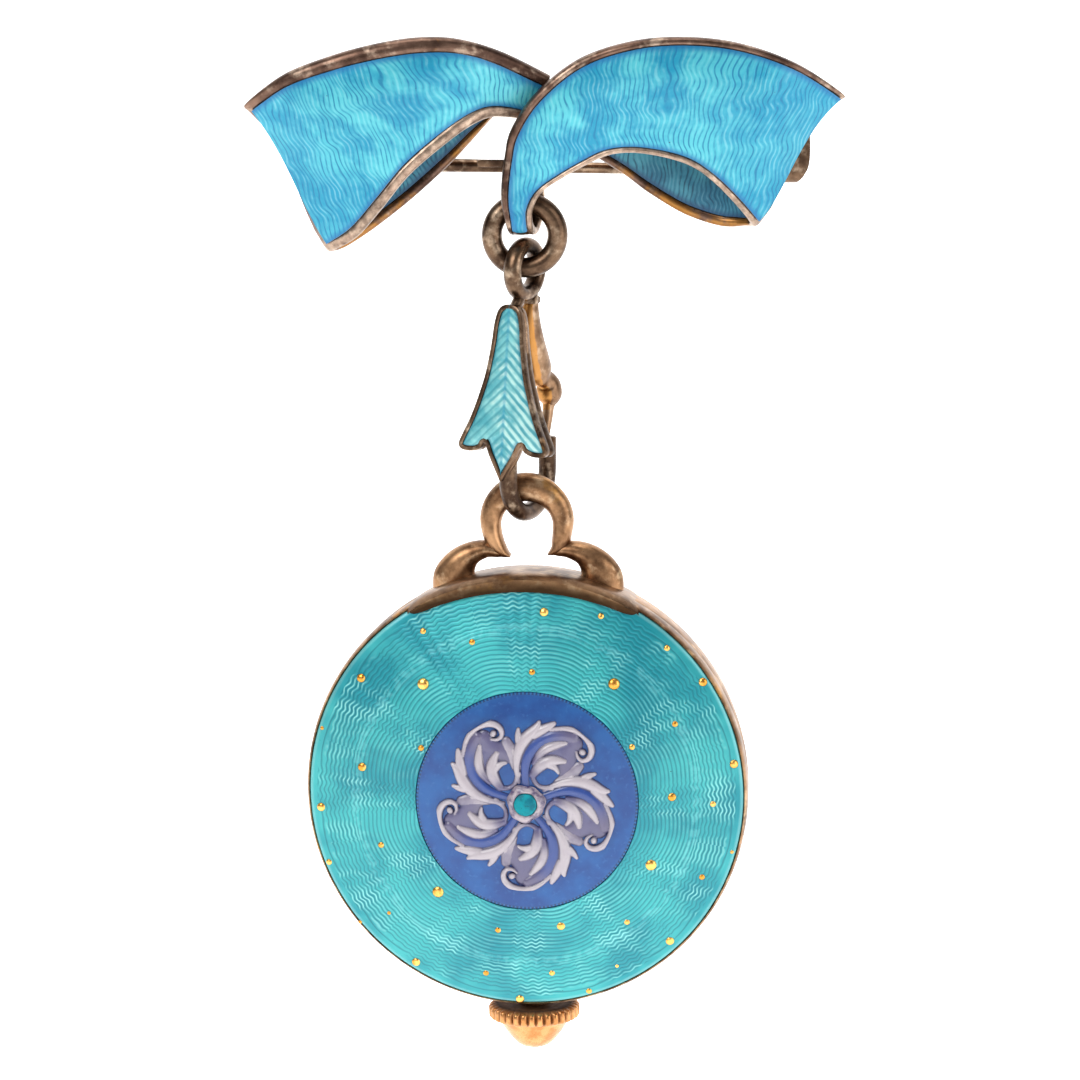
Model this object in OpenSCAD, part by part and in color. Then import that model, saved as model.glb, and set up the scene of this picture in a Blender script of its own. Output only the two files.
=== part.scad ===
// Chatelaine watch pin: a ribbon bow brooch, a ring and a snap hook that carry an enamelled watch.
// x runs to the viewer's right, y away from the viewer and z up. The origin is on the pin's axis.

/* [Ribbon bow] */
// Thickness of the ribbon sheet
ribbon_t = 0.44; // [0.36:0.02:0.52]
// Height of the rims over the sheet
rim_h = 0.28; // [0.2:0.02:0.34]
// Width of the rims
rim_w = 0.6; // [0.4:0.05:0.8]
// Bulge of the ribbon as a share of its width. The folds sink by the tables' last column.
ribbon_bulge = 0.04; // [0:0.005:0.05]

/* [Pin] */
// Distance of the hinge axis from the middle
hinge_x = 11.3; // [11:0.1:11.6]
// Length of the pin from the hinge to its point
pin_l = 28.4; // [28:0.1:28.8]
// Diameter of the pin at the hinge
pin_d = 0.95; // [0.8:0.05:1]
// Width of the catch
catch_w = 2; // [1.6:0.1:2.2]

/* [Ring] */
// Outer diameter of the ring
ring_d = 5.26; // [5.2:0.02:5.32]
// Diameter of its wire
ring_wire = 1.24; // [1.1:0.02:1.24]

/* [Snap hook] */
// Turn of the hook from the front to the viewer's left
clasp_yaw = 30; // [26:1:30]
// Mean radius of the eye
eye_r = 1.5; // [1.46:0.01:1.52]
// Diameter of the eye's wire
eye_wire = 0.92; // [0.8:0.02:0.92]
// Mean radius of the hook's bend
hook_r = 2.4; // [2.3:0.05:2.45]
// Diameter of the hook's wire
hook_wire = 1.1; // [0.9:0.05:1.1]
// Thickness of the leaf plate
leaf_t = 0.8; // [0.7:0.05:0.9]
// Width of the leaf's rim
leaf_rim = 0.28; // [0.2:0.02:0.4]
// Diameter of the lever's ball
ball_d = 1.7; // [1.4:0.05:1.8]

/* [Watch] */
// Diameter of the case
case_d = 27.4; // [27:0.1:27.6]
// Diameter of the enamel on the back
enamel_d = 26.4; // [26:0.1:26.5]
// Height of the domed back over the middle of the case
back_h = 4.3; // [4.1:0.05:4.4]
// Radius of the dome
dome_r = 49.7; // [45:0.1:60]
// Diameter of the blue medallion
medallion_d = 13.6; // [13:0.1:13.8]
// Thickness of the enamels
enamel_t = 0.34; // [0.25:0.01:0.36]
// Diameter of the crown
crown_d = 5.7; // [5:0.1:6]
// Teeth of the crown
crown_teeth = 33; // [24:1:40]

/* [Hidden] */

// small gap between pieces of one body
gap = 0.04;
silver = [0.55, 0.47, 0.38];
gilt = [0.85, 0.66, 0.36];
sky = [0.35, 0.72, 0.84];
deep_blue = [0.1, 0.28, 0.55];
teal = [0.27, 0.7, 0.74];

// Left loop. Columns: top edge x, y, z, bottom edge x, y, z, front rims, back rims, bulge.
// A row for each section, from the knot over the front to the fold and back behind.
LEFT = [[1.4, -4.5, 6.0, -0.6, -4.5, 3.4, 1, 0, 1],
        [-1.5, -5.1, 7.5, -2.2, -4.9, 3.5, 1, 0, 1],
        [-4.1, -5.8, 8.35, -3.5, -5.5, 3.0, 1, 0, 1],
        [-6.5, -6.2, 8.5, -5.3, -6.0, 1.7, 1, 0, 1],
        [-9.2, -6.3, 8.1, -7.2, -6.2, 0.0, 1, 0, 1],
        [-12.0, -6.0, 7.3, -8.8, -6.1, -2.0, 1, 0, 1],
        [-14.8, -5.4, 6.1, -10.3, -5.6, -3.7, 1, 0, 0.4],
        [-16.7, -4.4, 4.5, -11.5, -4.4, -4.6, 0, 0, -1.2],
        [-15.4, -3.4, 5.0, -10.9, -3.3, -4.7, 0, 1, -0.4],
        [-12.8, -2.6, 6.3, -9.3, -2.7, -3.6, 0, 1, 1],
        [-9.5, -2.3, 7.2, -7.1, -2.5, -1.9, 0, 1, 1],
        [-6.0, -2.3, 7.4, -4.9, -2.5, 0.1, 0, 1, 1],
        [-3.0, -2.5, 6.9, -3.4, -2.6, 1.7, 0, 1, 1],
        [0.2, -2.9, 6.0, -2.2, -2.9, 3.1, 0, 1, 1]];

// Right loop in the same columns: from the curl round the ring up the tail, over the front
// to the fold and back behind. On the tail the top edge is the left one.
RIGHT = [[-0.5, -4.85, -0.75, 0.7, -4.85, -0.75, 0, 0, 1],
         [-0.5, -4.0, -0.7, 1.0, -4.0, -0.7, 0, 0, 1],
         [-0.5, -3.35, -1.5, 1.1, -3.35, -1.5, 0, 0, 1],
         [-0.7, -3.4, -2.8, 1.0, -3.4, -2.8, 0, 0, 1],
         [-1.0, -4.5, -3.5, 0.7, -4.5, -3.5, 0, 0, 1],
         [-1.25, -5.6, -2.9, 0.4, -5.6, -3.0, 0, 0, 1],
         [-1.5, -5.75, -1.9, 0.4, -5.75, -2.0, 0, 0, 1],
         [-1.56, -5.8, -0.7, 1.0, -5.8, -0.9, 1, 0, 1],
         [-1.35, -5.9, 1.2, 2.3, -5.9, 0.0, 1, 0, 1],
         [-0.95, -6.1, 2.9, 3.7, -6.0, 0.8, 1, 0, 1],
         [0.5, -6.3, 5.1, 5.1, -6.2, 1.4, 1, 0, 1],
         [3.1, -6.4, 7.2, 6.7, -6.3, 1.5, 1, 0, 1],
         [6.3, -6.5, 8.3, 8.5, -6.4, 1.2, 1, 0, 1],
         [9.6, -6.4, 8.55, 10.1, -6.3, 0.6, 1, 0, 1],
         [13.0, -6.1, 8.1, 11.5, -6.0, -0.5, 1, 0, 1],
         [16.4, -5.5, 6.8, 12.8, -5.5, -1.9, 1, 0, 0.4],
         [18.8, -4.4, 4.9, 13.8, -4.5, -2.9, 0, 0, -1.6],
         [17.2, -3.4, 5.6, 13.3, -3.4, -3.4, 0, 1, -0.4],
         [14.3, -2.7, 6.6, 11.9, -2.7, -3.5, 0, 1, 1],
         [11.0, -2.4, 7.3, 9.7, -2.5, -2.8, 0, 1, 1],
         [8.0, -2.4, 7.3, 7.5, -2.5, -1.5, 0, 1, 1],
         [5.0, -2.6, 6.7, 5.9, -2.6, -0.3, 0, 1, 1],
         [2.2, -2.9, 5.6, 4.2, -2.9, 0.8, 0, 1, 1]];
right_fold = 16;
tail_end = 7;

// Leaf plate: height under the top and half width, from the top to the tip
LEAF = [[0, 0.4], [0.15, 0.62], [0.5, 0.84], [1.3, 1.02], [2.3, 1.12], [3.3, 1.27], [4.4, 1.48],
        [5.4, 1.77], [6.4, 2.1], [7.3, 2.46], [8.1, 2.85], [8.7, 3.1], [9.05, 3.0], [9.18, 2.6],
        [9.15, 2.0], [8.95, 1.55], [8.5, 1.28], [9.4, 0.88], [10.4, 0.4], [11.05, 0.06]];
leaf_tilt = 6;
leaf_top = [0, -1.9, -2];

// Arm of the lever, from its pivot to its ball: radius and distance from the pivot
LEVER = [[0, 0.3], [0.3, 0.3], [0.44, 2.4], [0.62, 4.6], [0.44, 5.3], [0.44, 5.6], [0, 5.6]];

// Leaf of the rosette. Columns: radius, angle, half width, height over the medallion.
SCROLL = [[1.5, 106, 0.22, 0.2], [2.3, 99, 0.5, 0.3], [3.2, 90, 0.8, 0.36], [4.2, 78, 0.95, 0.4],
          [5.0, 64, 0.75, 0.38], [5.3, 52, 0.5, 0.36], [5.2, 43, 0.38, 0.34], [4.85, 37, 0.2, 0.3]];
scrolls = 5;

ring_at = [-0.12, -4.5, -3.8];
ring_r = (ring_d - ring_wire) / 2;
clasp_at = ring_at - [0, 0, ring_r];
eye_drop = 0.1;
lever_at = [0, 1.3, -2.05];
lever_w = 0.66;
knuckle_r = 0.52;
rivet_r = 0.2;
ball_at = [0, 3.0, -7.9];
// end of the lever's finger, in front of the hook's tip
finger_end = [0, 2.38, -11.4];
hook_at = [0, 0.38, -12.85];
shank_l = 2;
hook_tip = 1.95;
hook_step = 0.8;

watch_at = [0.2, -4.5, -38.2];
watch_yaw = -6;
watch_roll = -1;
rim_r = case_d / 2;
plate_t = 0.5;
bore_r = 12.9;
pendant_z = 16.75;
saddle_a = 62;
stem_r = 0.38;
// Band of the case and saddle on it: distance from the rim's radius, height toward the back
BAND = [[-0.45, 2.58], [-0.28, 2.6], [-0.08, 2.3], [0, 1.9], [0, -1.7], [-0.2, -2.1], [-0.6, -2.1],
        [-0.6, 1.9]];
SADDLE = [[-0.95, 2.76], [-0.1, 2.55], [-0.3, -1.8], [0.22, -1.8], [0.25, 2.7], [-0.2, 3.05],
          [-0.95, 3.02]];

catch_x = 16.2;
catch_z = -0.5;
catch_r = 0.42;
catch_t = 0.28;
pin_slope = 1.05;
hub_r = 0.8;
hub_h = 1.3;
pivot_r = 0.28;
pivot_gap = 0.06;

function clamp01(a) = min(1, max(0, a));

// Smooth row of a table at position u, through all its rows
function row(t, u) =
    let (n = len(t) - 1, i = min(max(floor(u), 0), n - 1), f = u - i,
         a = t[max(i - 1, 0)], b = t[i], c = t[i + 1], d = t[min(i + 2, n)])
    (2 * b + (c - a) * f + (2 * a - 5 * b + 4 * c - d) * f * f
     + (3 * b - a - 3 * c + d) * f * f * f) / 2;

function edge_a(t, u) = let (r = row(t, u)) [r[0], r[1], r[2]];
function edge_b(t, u) = let (r = row(t, u)) [r[3], r[4], r[5]];
function middle(t, u) = (edge_a(t, u) + edge_b(t, u)) / 2;

// Unit vector out of the ribbon's outer face. side is 1 if the path runs to the left, or -1.
function outward(t, u, side) =
    let (along = middle(t, u + 0.05) - middle(t, u - 0.05),
         n = cross(along, edge_b(t, u) - edge_a(t, u)) * side)
    n / norm(n);

// Point of the ribbon at share w of its width and height h over its middle
function ribbon_point(t, u, side, w, h) =
    let (across = edge_b(t, u) - edge_a(t, u))
    edge_a(t, u) + across * w
    + outward(t, u, side) * (h + ribbon_bulge * row(t, u)[8] * norm(across) * 4 * w * (1 - w));

// Shares of the width at which a section with rims of width m has its points
function rim_shares(m) = [0, m, m + 0.02, 0.33, 0.5, 0.67, 0.98 - m, 1 - m, 1];

// Closed section of the ribbon sheet: the outer face, then the inner one back
function sheet_section(t, u, side) =
    let (r = row(t, u), m = min(0.3, rim_w / norm(edge_b(t, u) - edge_a(t, u))),
         s = rim_shares(m), up = clamp01(r[6]) * rim_h, down = clamp01(r[7]) * rim_h)
    concat([for (k = [0:8]) ribbon_point(t, u, side, s[k],
                ribbon_t / 2 + (k < 2 || k > 6 ? up : 0))],
           [for (k = [8:-1:0]) ribbon_point(t, u, side, s[k],
                -ribbon_t / 2 - (k < 2 || k > 6 ? down : 0))]);

// Closed section of an enamel between the rims: face 1 is the outer one, -1 the inner one.
// The side next to the sheet runs the same way as the sheet's own section.
function enamel_section(t, u, side, face) =
    let (m = min(0.3, rim_w / norm(edge_b(t, u) - edge_a(t, u))) + 0.035,
         s = [m, 0.33, 0.5, 0.67, 1 - m],
         top = ribbon_t / 2 + rim_h - 0.02, low = ribbon_t / 2 + gap)
    face > 0
    ? concat([for (k = [0:4]) ribbon_point(t, u, side, s[k], top)],
             [for (k = [4:-1:0]) ribbon_point(t, u, side, s[k], low)])
    : concat([for (k = [4:-1:0]) ribbon_point(t, u, side, s[k], -low)],
             [for (k = [0:4]) ribbon_point(t, u, side, s[k], -top)]);

// Faces of a skin over m closed sections of 2 * half points
function skin_faces(m, half) = let (n = 2 * half) concat(
    [for (s = [0:m - 2]) for (k = [0:n - 1])
        [s * n + k, s * n + (k + 1) % n, (s + 1) * n + (k + 1) % n, (s + 1) * n + k]],
    [for (k = [0:half - 2]) [k, n - 1 - k, n - 2 - k, k + 1]],
    [for (k = [0:half - 2]) let (o = (m - 1) * n) [o + k, o + k + 1, o + n - 2 - k, o + n - 1 - k]]);

// Solid through a list of closed sections
module skin(sections, flip = false) {
    half = len(sections[0]) / 2;
    faces = skin_faces(len(sections), half);
    polyhedron([for (s = sections) for (p = s) p],
               flip ? [for (f = faces) [f[0], f[3], f[2], f[1]]] : faces, convexity = 8);
}

// Solid of revolution round the line from a toward b, from points [radius, distance from a]
module spindle(a, b, points) {
    d = b - a;
    translate(a) rotate([0, acos(d[2] / norm(d)), atan2(d[1], d[0])])
        rotate_extrude($fn = 32) polygon(points);
}

// Straight rod or cone between two points
module rod(a, b, r1, r2) {
    l = norm(b - a);
    spindle(a, b, [[0, 0], [r1, 0], [r2, l], [0, l]]);
}

// Solid of revolution round the y axis from points [radius, height toward the viewer]
module lathe(points, angle = 360) {
    rotate([90, 0, 0]) rotate_extrude(angle = angle, $fn = 96) polygon(points);
}

// Cylinder along x, centred
module x_cylinder(r, h) {
    rotate([0, 90, 0]) cylinder(r = r, h = h, center = true, $fn = 32);
}

module ribbon(t, side) {
    skin([for (u = [0:0.5:len(t) - 1]) sheet_section(t, u, side)], side < 0);
}

module ribbon_enamel(t, side, face, u0, u1) {
    skin([for (u = [u0:0.5:u1]) enamel_section(t, u, side, face)], side * face < 0);
}

// Block and two knuckles with the pivot of the pin, behind the left loop
module hinge_block() {
    translate([-hinge_x - 1.3, -2.2, -1.7]) cube([2.6, 1.1, 3.4]);
    for (s = [-1, 1]) translate([-hinge_x, 0, s * 1.2]) {
        cylinder(r = hub_r, h = 1, center = true, $fn = 32);
        translate([-hub_r, -1.4, -0.5]) cube([2 * hub_r, 1.4, 1]);
    }
    translate([-hinge_x, 0, 0]) cylinder(r = pivot_r, h = 2.4, center = true, $fn = 32);
}

// Sheet catch: a wall that hangs from the right loop and turns up under the pin's point
module catch() {
    outer = catch_r + catch_t;
    translate([catch_x, 0, catch_z]) difference() {
        union() {
            x_cylinder(outer, catch_w);
            translate([-catch_w / 2, -outer, 0]) cube([catch_w, catch_t, 4.8]);
            translate([-catch_w / 2, -2.9, 3.7]) cube([catch_w - 0.5, 2.9 - catch_r, 1.1]);
        }
        x_cylinder(catch_r, catch_w + 1);
        translate([-catch_w, -catch_r, -0.34]) cube([2 * catch_w, 2, 2.3]);
    }
}

module bow_ribbon() color(silver) {
    ribbon(LEFT, 1);
    ribbon(RIGHT, -1);
    // solder at the knot, hidden between the loops
    translate([-0.3, -6.1, 3.7]) cube([1.7, 3.5, 1.4]);
    translate([1.2, -4.4, 3.7]) cube([2.1, 1.6, 1.2]);
    rod([-3.3, -2.8, 1.7], [-1.1, -5.8, 1.2], 0.3, 0.3);
    hinge_block();
    catch();
}

module left_front_enamel() color(sky) ribbon_enamel(LEFT, 1, 1, 0.5, 6.5);
module left_back_enamel() color(deep_blue) ribbon_enamel(LEFT, 1, -1, 8, 12.5);
module right_front_enamel() color(sky) ribbon_enamel(RIGHT, -1, 1, tail_end + 0.5, right_fold - 0.5);
module right_back_enamel() color(deep_blue) ribbon_enamel(RIGHT, -1, -1, right_fold + 1.5, 21.5);

module pin_stem() color(silver) translate([-hinge_x, 0, 0]) difference() {
    union() {
        cylinder(r = hub_r, h = hub_h, center = true, $fn = 32);
        rotate([0, 90 + pin_slope, 0]) cylinder(r1 = pin_d / 2, r2 = 0.3, h = pin_l - 6, $fn = 32);
        rotate([0, 90 + pin_slope, 0]) translate([0, 0, pin_l - 6.01])
            cylinder(r1 = 0.3, r2 = 0.06, h = 6.01, $fn = 32);
    }
    cylinder(r = pivot_r + pivot_gap, h = hub_h + 1, center = true, $fn = 32);
}

module jump_ring() color(silver) translate(ring_at) rotate([90, 0, 0])
    rotate_extrude($fn = 64) translate([ring_r, 0]) circle(d = ring_wire, $fn = 32);

module in_clasp() {
    translate(clasp_at) rotate([0, 0, -clasp_yaw]) children();
}

// Outline of the leaf, drawn in by g
module leaf_outline(g = 0) {
    n = len(LEAF) - 1;
    right = [for (p = LEAF)
        [max(p[1] - g * 1.05, 0.03), -p[0] + g * (p[0] > 8.75 ? 1 : p[0] < 0.3 ? -1 : 0)]];
    left = [for (i = [n:-1:0]) [-right[i][0], right[i][1]]];
    polygon(concat(right, left));
}

module on_leaf() {
    translate(leaf_top) rotate([-leaf_tilt, 0, 0]) children();
}

// The leaf's outline between two depths behind its front
module leaf_slab(front, back, g) {
    on_leaf() translate([0, back, 0]) rotate([90, 0, 0]) linear_extrude(back - front) leaf_outline(g);
}

module clasp_frame() color(silver) in_clasp() {
    difference() {
        union() {
            // eye
            translate([0, 0, -eye_drop]) rotate([0, 90, 0])
                rotate_extrude($fn = 64) translate([eye_r, 0]) circle(d = eye_wire, $fn = 32);
            // lug that carries the lever
            translate(lever_at) x_cylinder(knuckle_r, 1.4);
            translate([-0.66, 0.6, -2.3]) cube([1.32, 0.8, 0.9]);
        }
        translate(lever_at) x_cylinder(knuckle_r + 0.12, lever_w + 0.12);
        translate(lever_at - [lever_w / 2 + 0.06, 0.1, 1.5]) cube([lever_w + 0.12, 2, 1.9]);
    }
    translate(lever_at) x_cylinder(rivet_r, 1.32);
    rod([0, -0.35, -1.5], [0, -1.4, -2.55], 0.36, 0.36);
    difference() {
        leaf_slab(0, leaf_t, 0);
        leaf_slab(-1, enamel_t, leaf_rim);
    }
    // hook
    translate(hook_at) {
        rotate([-90, 0, 90]) rotate_extrude(angle = 180, $fn = 64) translate([hook_r, 0])
            circle(d = hook_wire, $fn = 32);
        translate([0, -hook_r, 0]) cylinder(d = hook_wire, h = shank_l, $fn = 32);
        difference() {
            translate([0, hook_r, 0]) cylinder(d = hook_wire, h = hook_tip, $fn = 32);
            translate([-1, hook_r - 1.04, hook_tip - hook_step]) cube([2, 1, 2]);
        }
    }
}

module leaf_enamel() color(teal) in_clasp() leaf_slab(gap, enamel_t - gap, leaf_rim + 2 * gap);

module gate_lever() color(silver) in_clasp() difference() {
    union() {
        translate(lever_at) x_cylinder(knuckle_r, lever_w);
        spindle(lever_at, ball_at, LEVER);
        translate(ball_at) sphere(d = ball_d, $fn = 48);
        rod(ball_at - [0, 0.1, 0], finger_end, 0.42, 0.24);
    }
    translate(lever_at) x_cylinder(rivet_r + pivot_gap, 3);
}

module in_watch() {
    translate(watch_at) rotate([0, watch_roll, watch_yaw]) children();
}

// Height of the dome, of a sphere s under the enamel's face, at distance r from the middle
function dome(r, s = 0) = back_h - dome_r + sqrt((dome_r - s) * (dome_r - s) - r * r);

// Points from radius r0 to r1 of a sphere s under the enamel's face
function dome_arc(r0, r1, s, n = 8) = [for (i = [0:n]) let (r = r0 + (r1 - r0) * i / n) [r, dome(r, s)]];

// Edge of a flat disc of radius r, rounded over half its thickness e, with side 1 or -1
function round_edge(r, e) = [for (a = [90:-22.5:-90]) [r - e + e * cos(a), e * sin(a)]];

// Flat disc with a round edge, standing in the plane of the case
module pebble(x, z, r, e) {
    translate([x, 0, z]) lathe(concat([[0, e]], round_edge(r, e), [[0, -e]]));
}

// Cutter for a hole with round edges
module flared_hole(x, z, r, e) {
    n = 8;
    arc = [for (i = [0:n]) let (a = 90 - 180 * i / n) [r + e - e * cos(a), e * sin(a)]];
    translate([x, 0, z]) lathe(concat([[0, e + 1], [r + e, e + 1]], arc, [[r + e, -e - 1], [0, -e - 1]]));
}

// Cast scroll bow on top of the case
module pendant_bow() {
    e = 0.85;
    difference() {
        union() {
            pebble(0, pendant_z, 2.9, e);
            for (s = [-1, 1]) {
                pebble(s * 2.6, 14.35, 1.35, 0.75);
                pebble(s * 4.0, 13.2, 1.95, 0.85);
            }
        }
        flared_hole(0, 16.1, 1.75, e);
        // opening of the bow and the slot over the saddle
        translate([-1.2, -2, 13]) cube([2.4, 4, 2.4]);
        translate([-3.15, -2, 10]) cube([6.3, 4, 3.9]);
    }
}

// Saddle that clasps the rim of the case under the bow
module saddle() {
    rotate([0, saddle_a / 2 - 90, 0])
        lathe([for (p = SADDLE) [rim_r + p[0], p[1]]], saddle_a);
}

module watch_case() color(silver) in_watch() {
    difference() {
        union() {
            lathe(concat(dome_arc(0, enamel_d / 2, enamel_t + gap), [for (p = BAND) [rim_r + p[0], p[1]]],
                         dome_arc(bore_r, 0, enamel_t + gap + plate_t)));
            pendant_bow();
            saddle();
            translate([0, 0, -rim_r - 0.55]) cylinder(r = 0.95, h = 1.2, $fn = 32);
        }
        // bore for the crown's stem, and the room for the movement
        translate([0, 0, -rim_r - 1]) cylinder(r = stem_r + 0.1, h = 2.6, $fn = 32);
        lathe([[0, -3], [bore_r, -3], [bore_r, 1.7], [0, 1.7]]);
    }
}

module back_enamel() color(teal) in_watch()
    lathe(concat(dome_arc(medallion_d / 2 + 0.15, enamel_d / 2, 0),
                 dome_arc(enamel_d / 2, medallion_d / 2 + 0.15, enamel_t)));

module medallion_enamel() color(deep_blue) in_watch()
    lathe(concat(dome_arc(0, medallion_d / 2, 0), dome_arc(medallion_d / 2, 0, enamel_t)));

// Closed section of a rosette leaf at position u, turned by angle a
function scroll_section(u, a) =
    let (p = row(SCROLL, u), q = row(SCROLL, u + 0.05), o = row(SCROLL, u - 0.05),
         at = p[0] * [cos(p[1] + a), sin(p[1] + a)],
         way = q[0] * [cos(q[1] + a), sin(q[1] + a)] - o[0] * [cos(o[1] + a), sin(o[1] + a)],
         n = [-way[1], way[0]] / norm(way))
    concat([for (k = [-1:0.5:1]) let (c = at + n * k * p[2])
                [c[0], c[1], dome(norm(c)) + gap + 0.08 + (p[3] - 0.08) * (1 - k * k)]],
           [for (k = [1:-0.5:-1]) let (c = at + n * k * p[2]) [c[0], c[1], dome(norm(c)) + gap]]);

module rosette() color([0.8, 0.78, 0.87]) in_watch() {
    for (i = [0:scrolls - 1]) rotate([90, 0, 0])
        skin([for (u = [0:0.5:len(SCROLL) - 1]) scroll_section(u, i * 360 / scrolls)]);
    // ring that joins the leaves round the gem
    lathe([[1.3, dome(1.3) + gap], [1.3, dome(1.3) + 0.25],
           [1.75, dome(1.75) + 0.2], [1.75, dome(1.75) + gap]]);
}

module gem_collar() color([0.85, 0.82, 0.8]) in_watch()
    lathe([[0, back_h + gap], [1.2, back_h + gap], [1.2, back_h + 0.3], [0.8, back_h + 0.5],
           [0.74, back_h + 0.5], [0.74, back_h + 0.15], [0, back_h + 0.15]]);

module gem() color([0.08, 0.66, 0.68]) in_watch()
    lathe(concat([[0, back_h + 0.19]], [[0.7, back_h + 0.19]],
                 [for (a = [0:15:90]) [0.7 * cos(a), back_h + 0.5 + 0.4 * sin(a)]]));

// Toothed rim of the crown
module teeth_outline() {
    r = crown_d / 2;
    polygon([for (i = [0:crown_teeth - 1]) for (k = [0:3])
        let (a = (i + k / 4) * 360 / crown_teeth, q = k < 2 ? r : r - 0.22) q * [cos(a), sin(a)]]);
}

module crown() color(gilt) in_watch() {
    translate([0, 0, -15.65]) linear_extrude(0.85) teeth_outline();
    translate([0, 0, -15.6]) mirror([0, 0, 1]) rotate_extrude($fn = 64)
        polygon([[0, 0], [2.5, 0], [2.2, 0.3], [1.97, 0.35], [1.93, 0.7], [1.6, 1.1], [1.0, 1.38],
                 [0, 1.5]]);
    translate([0, 0, -14.81]) cylinder(r = stem_r, h = 1.9, $fn = 32);
}

module bezel() color(silver) in_watch()
    lathe([[13.0, -2.14], [13.5, -2.14], [13.66, -2.4], [13.5, -3.0], [12.6, -3.5], [12.2, -3.4],
           [12.2, -2.9], [12.75, -2.8], [13.0, -2.6]]);

module crystal() color([0.85, 0.92, 0.95, 0.4]) in_watch()
    lathe([[0, -3.9], [4, -3.83], [8, -3.6], [12.15, -3.1], [12.15, -2.6], [8, -3.0], [4, -3.2],
           [0, -3.27]]);

module dial() color([0.95, 0.94, 0.9]) in_watch()
    lathe([[0.55, -0.85], [12.2, -0.85], [12.2, -1.2], [0.55, -1.2]]);

module movement() color([0.75, 0.7, 0.55]) in_watch() {
    lathe([[0, 1.55], [10.5, 1.55], [10.5, 1.0], [12.4, 1.0], [12.4, -0.8], [0, -0.8]]);
    lathe([[0, -0.7], [0.32, -0.7], [0.32, -2.45], [0, -2.45]]);
}

// Watch hand: a tapered blade on a pierced boss, from depth h toward the glass, at angle a
module watch_hand(l, w, h, a) {
    rotate([0, a, 0]) translate([0, -h, 0]) rotate([90, 0, 0]) linear_extrude(0.16) difference() {
        union() {
            circle(r = 0.75, $fn = 32);
            polygon([[-w / 2, 0], [-w, -l * 0.75], [0, -l], [w, -l * 0.75], [w / 2, 0]]);
        }
        circle(r = 0.38, $fn = 32);
    }
}

module hour_hand() color([0.15, 0.17, 0.3]) in_watch() watch_hand(6.5, 0.5, -1.55, 55);
module minute_hand() color([0.15, 0.17, 0.3]) in_watch() watch_hand(10.2, 0.36, -2.0, -60);

bow_ribbon();
left_front_enamel();
left_back_enamel();
right_front_enamel();
right_back_enamel();
pin_stem();
jump_ring();
clasp_frame();
leaf_enamel();
gate_lever();
watch_case();
back_enamel();
medallion_enamel();
rosette();
gem_collar();
gem();
crown();
bezel();
crystal();
dial();
movement();
hour_hand();
minute_hand();
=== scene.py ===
# %% [markdown]
# # A chatelaine watch pin
# A silver-gilt ribbon bow is pinned to a dress. A ring and a snap hook hang from it and carry a small
# watch, whose enamelled back faces the viewer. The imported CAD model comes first, because every piece
# below rides on one of its bodies and takes its place from it.

# %% Load the fixed frame
import math

import bmesh
import bpy
import numpy as np
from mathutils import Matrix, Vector


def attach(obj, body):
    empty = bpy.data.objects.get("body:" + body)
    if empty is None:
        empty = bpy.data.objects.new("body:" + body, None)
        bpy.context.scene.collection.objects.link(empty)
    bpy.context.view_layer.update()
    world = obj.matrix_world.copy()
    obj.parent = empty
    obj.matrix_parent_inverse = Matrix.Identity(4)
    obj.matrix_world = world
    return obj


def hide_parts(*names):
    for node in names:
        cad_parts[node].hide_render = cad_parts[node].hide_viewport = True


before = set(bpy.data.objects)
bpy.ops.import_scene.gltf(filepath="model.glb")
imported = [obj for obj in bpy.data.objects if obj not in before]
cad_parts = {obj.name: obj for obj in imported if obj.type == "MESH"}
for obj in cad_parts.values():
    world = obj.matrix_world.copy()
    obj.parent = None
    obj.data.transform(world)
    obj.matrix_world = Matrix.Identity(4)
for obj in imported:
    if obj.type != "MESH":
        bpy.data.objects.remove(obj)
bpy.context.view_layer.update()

# %% [markdown]
# ## Camera
# The photograph looks down at the pin by 11.5 degrees from about 35 cm, and its picture is 67.5 mm
# wide at the middle of the object. A long lens at that distance keeps the same slight perspective.

# %% Camera at the photograph's angle
MM = 0.001
LOOK_DOWN = math.radians(11.5)
DISTANCE = 350 * MM
TARGET = Vector((0.81, 0, -23.7)) * MM

camera_data = bpy.data.cameras.new("camera")
camera_data.sensor_width = 36
camera_data.lens = 186.67
camera_data.clip_start = 0.01
camera = bpy.data.objects.new("camera", camera_data)
camera.location = TARGET + DISTANCE * Vector((0, -math.cos(LOOK_DOWN), math.sin(LOOK_DOWN)))
camera.rotation_euler = (math.pi / 2 - LOOK_DOWN, 0, 0)
bpy.context.scene.collection.objects.link(camera)
bpy.context.scene.camera = camera
print("camera at", [round(c, 3) for c in camera.location])

# %% Where a pixel of the photograph lies
PICTURE = 1080
FOCAL = camera_data.lens / camera_data.sensor_width * PICTURE


def seen_at(pixels, depth):
    """World points in millimetres that a list of pixels shows at the depths y. Each lies on the line
    camera + t * (forward + right * (px - half) / focal + up * (half - py) / focal)."""
    eye = np.array(camera.location) / MM
    a = (np.asarray(pixels, float) - PICTURE / 2) / FOCAL
    c, s = math.cos(LOOK_DOWN), math.sin(LOOK_DOWN)
    ray = np.stack([a[:, 0], c - a[:, 1] * s, -s - a[:, 1] * c], -1)
    return eye + ray * ((depth - eye[1]) / ray[:, 1])[:, None]


print("row 165 shows the height", round(seen_at([(540, 165)], np.zeros(1))[0, 2], 2), "mm")

# %% [markdown]
# ## Surfaces from numpy
# Each new piece is a surface worked out as a whole array of points. A grid of points has rows and
# columns. Points that meet at a seam or a pole are merged, so that the surface is closed there, and
# the cells of a shell that comes out inside out are turned over.

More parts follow.
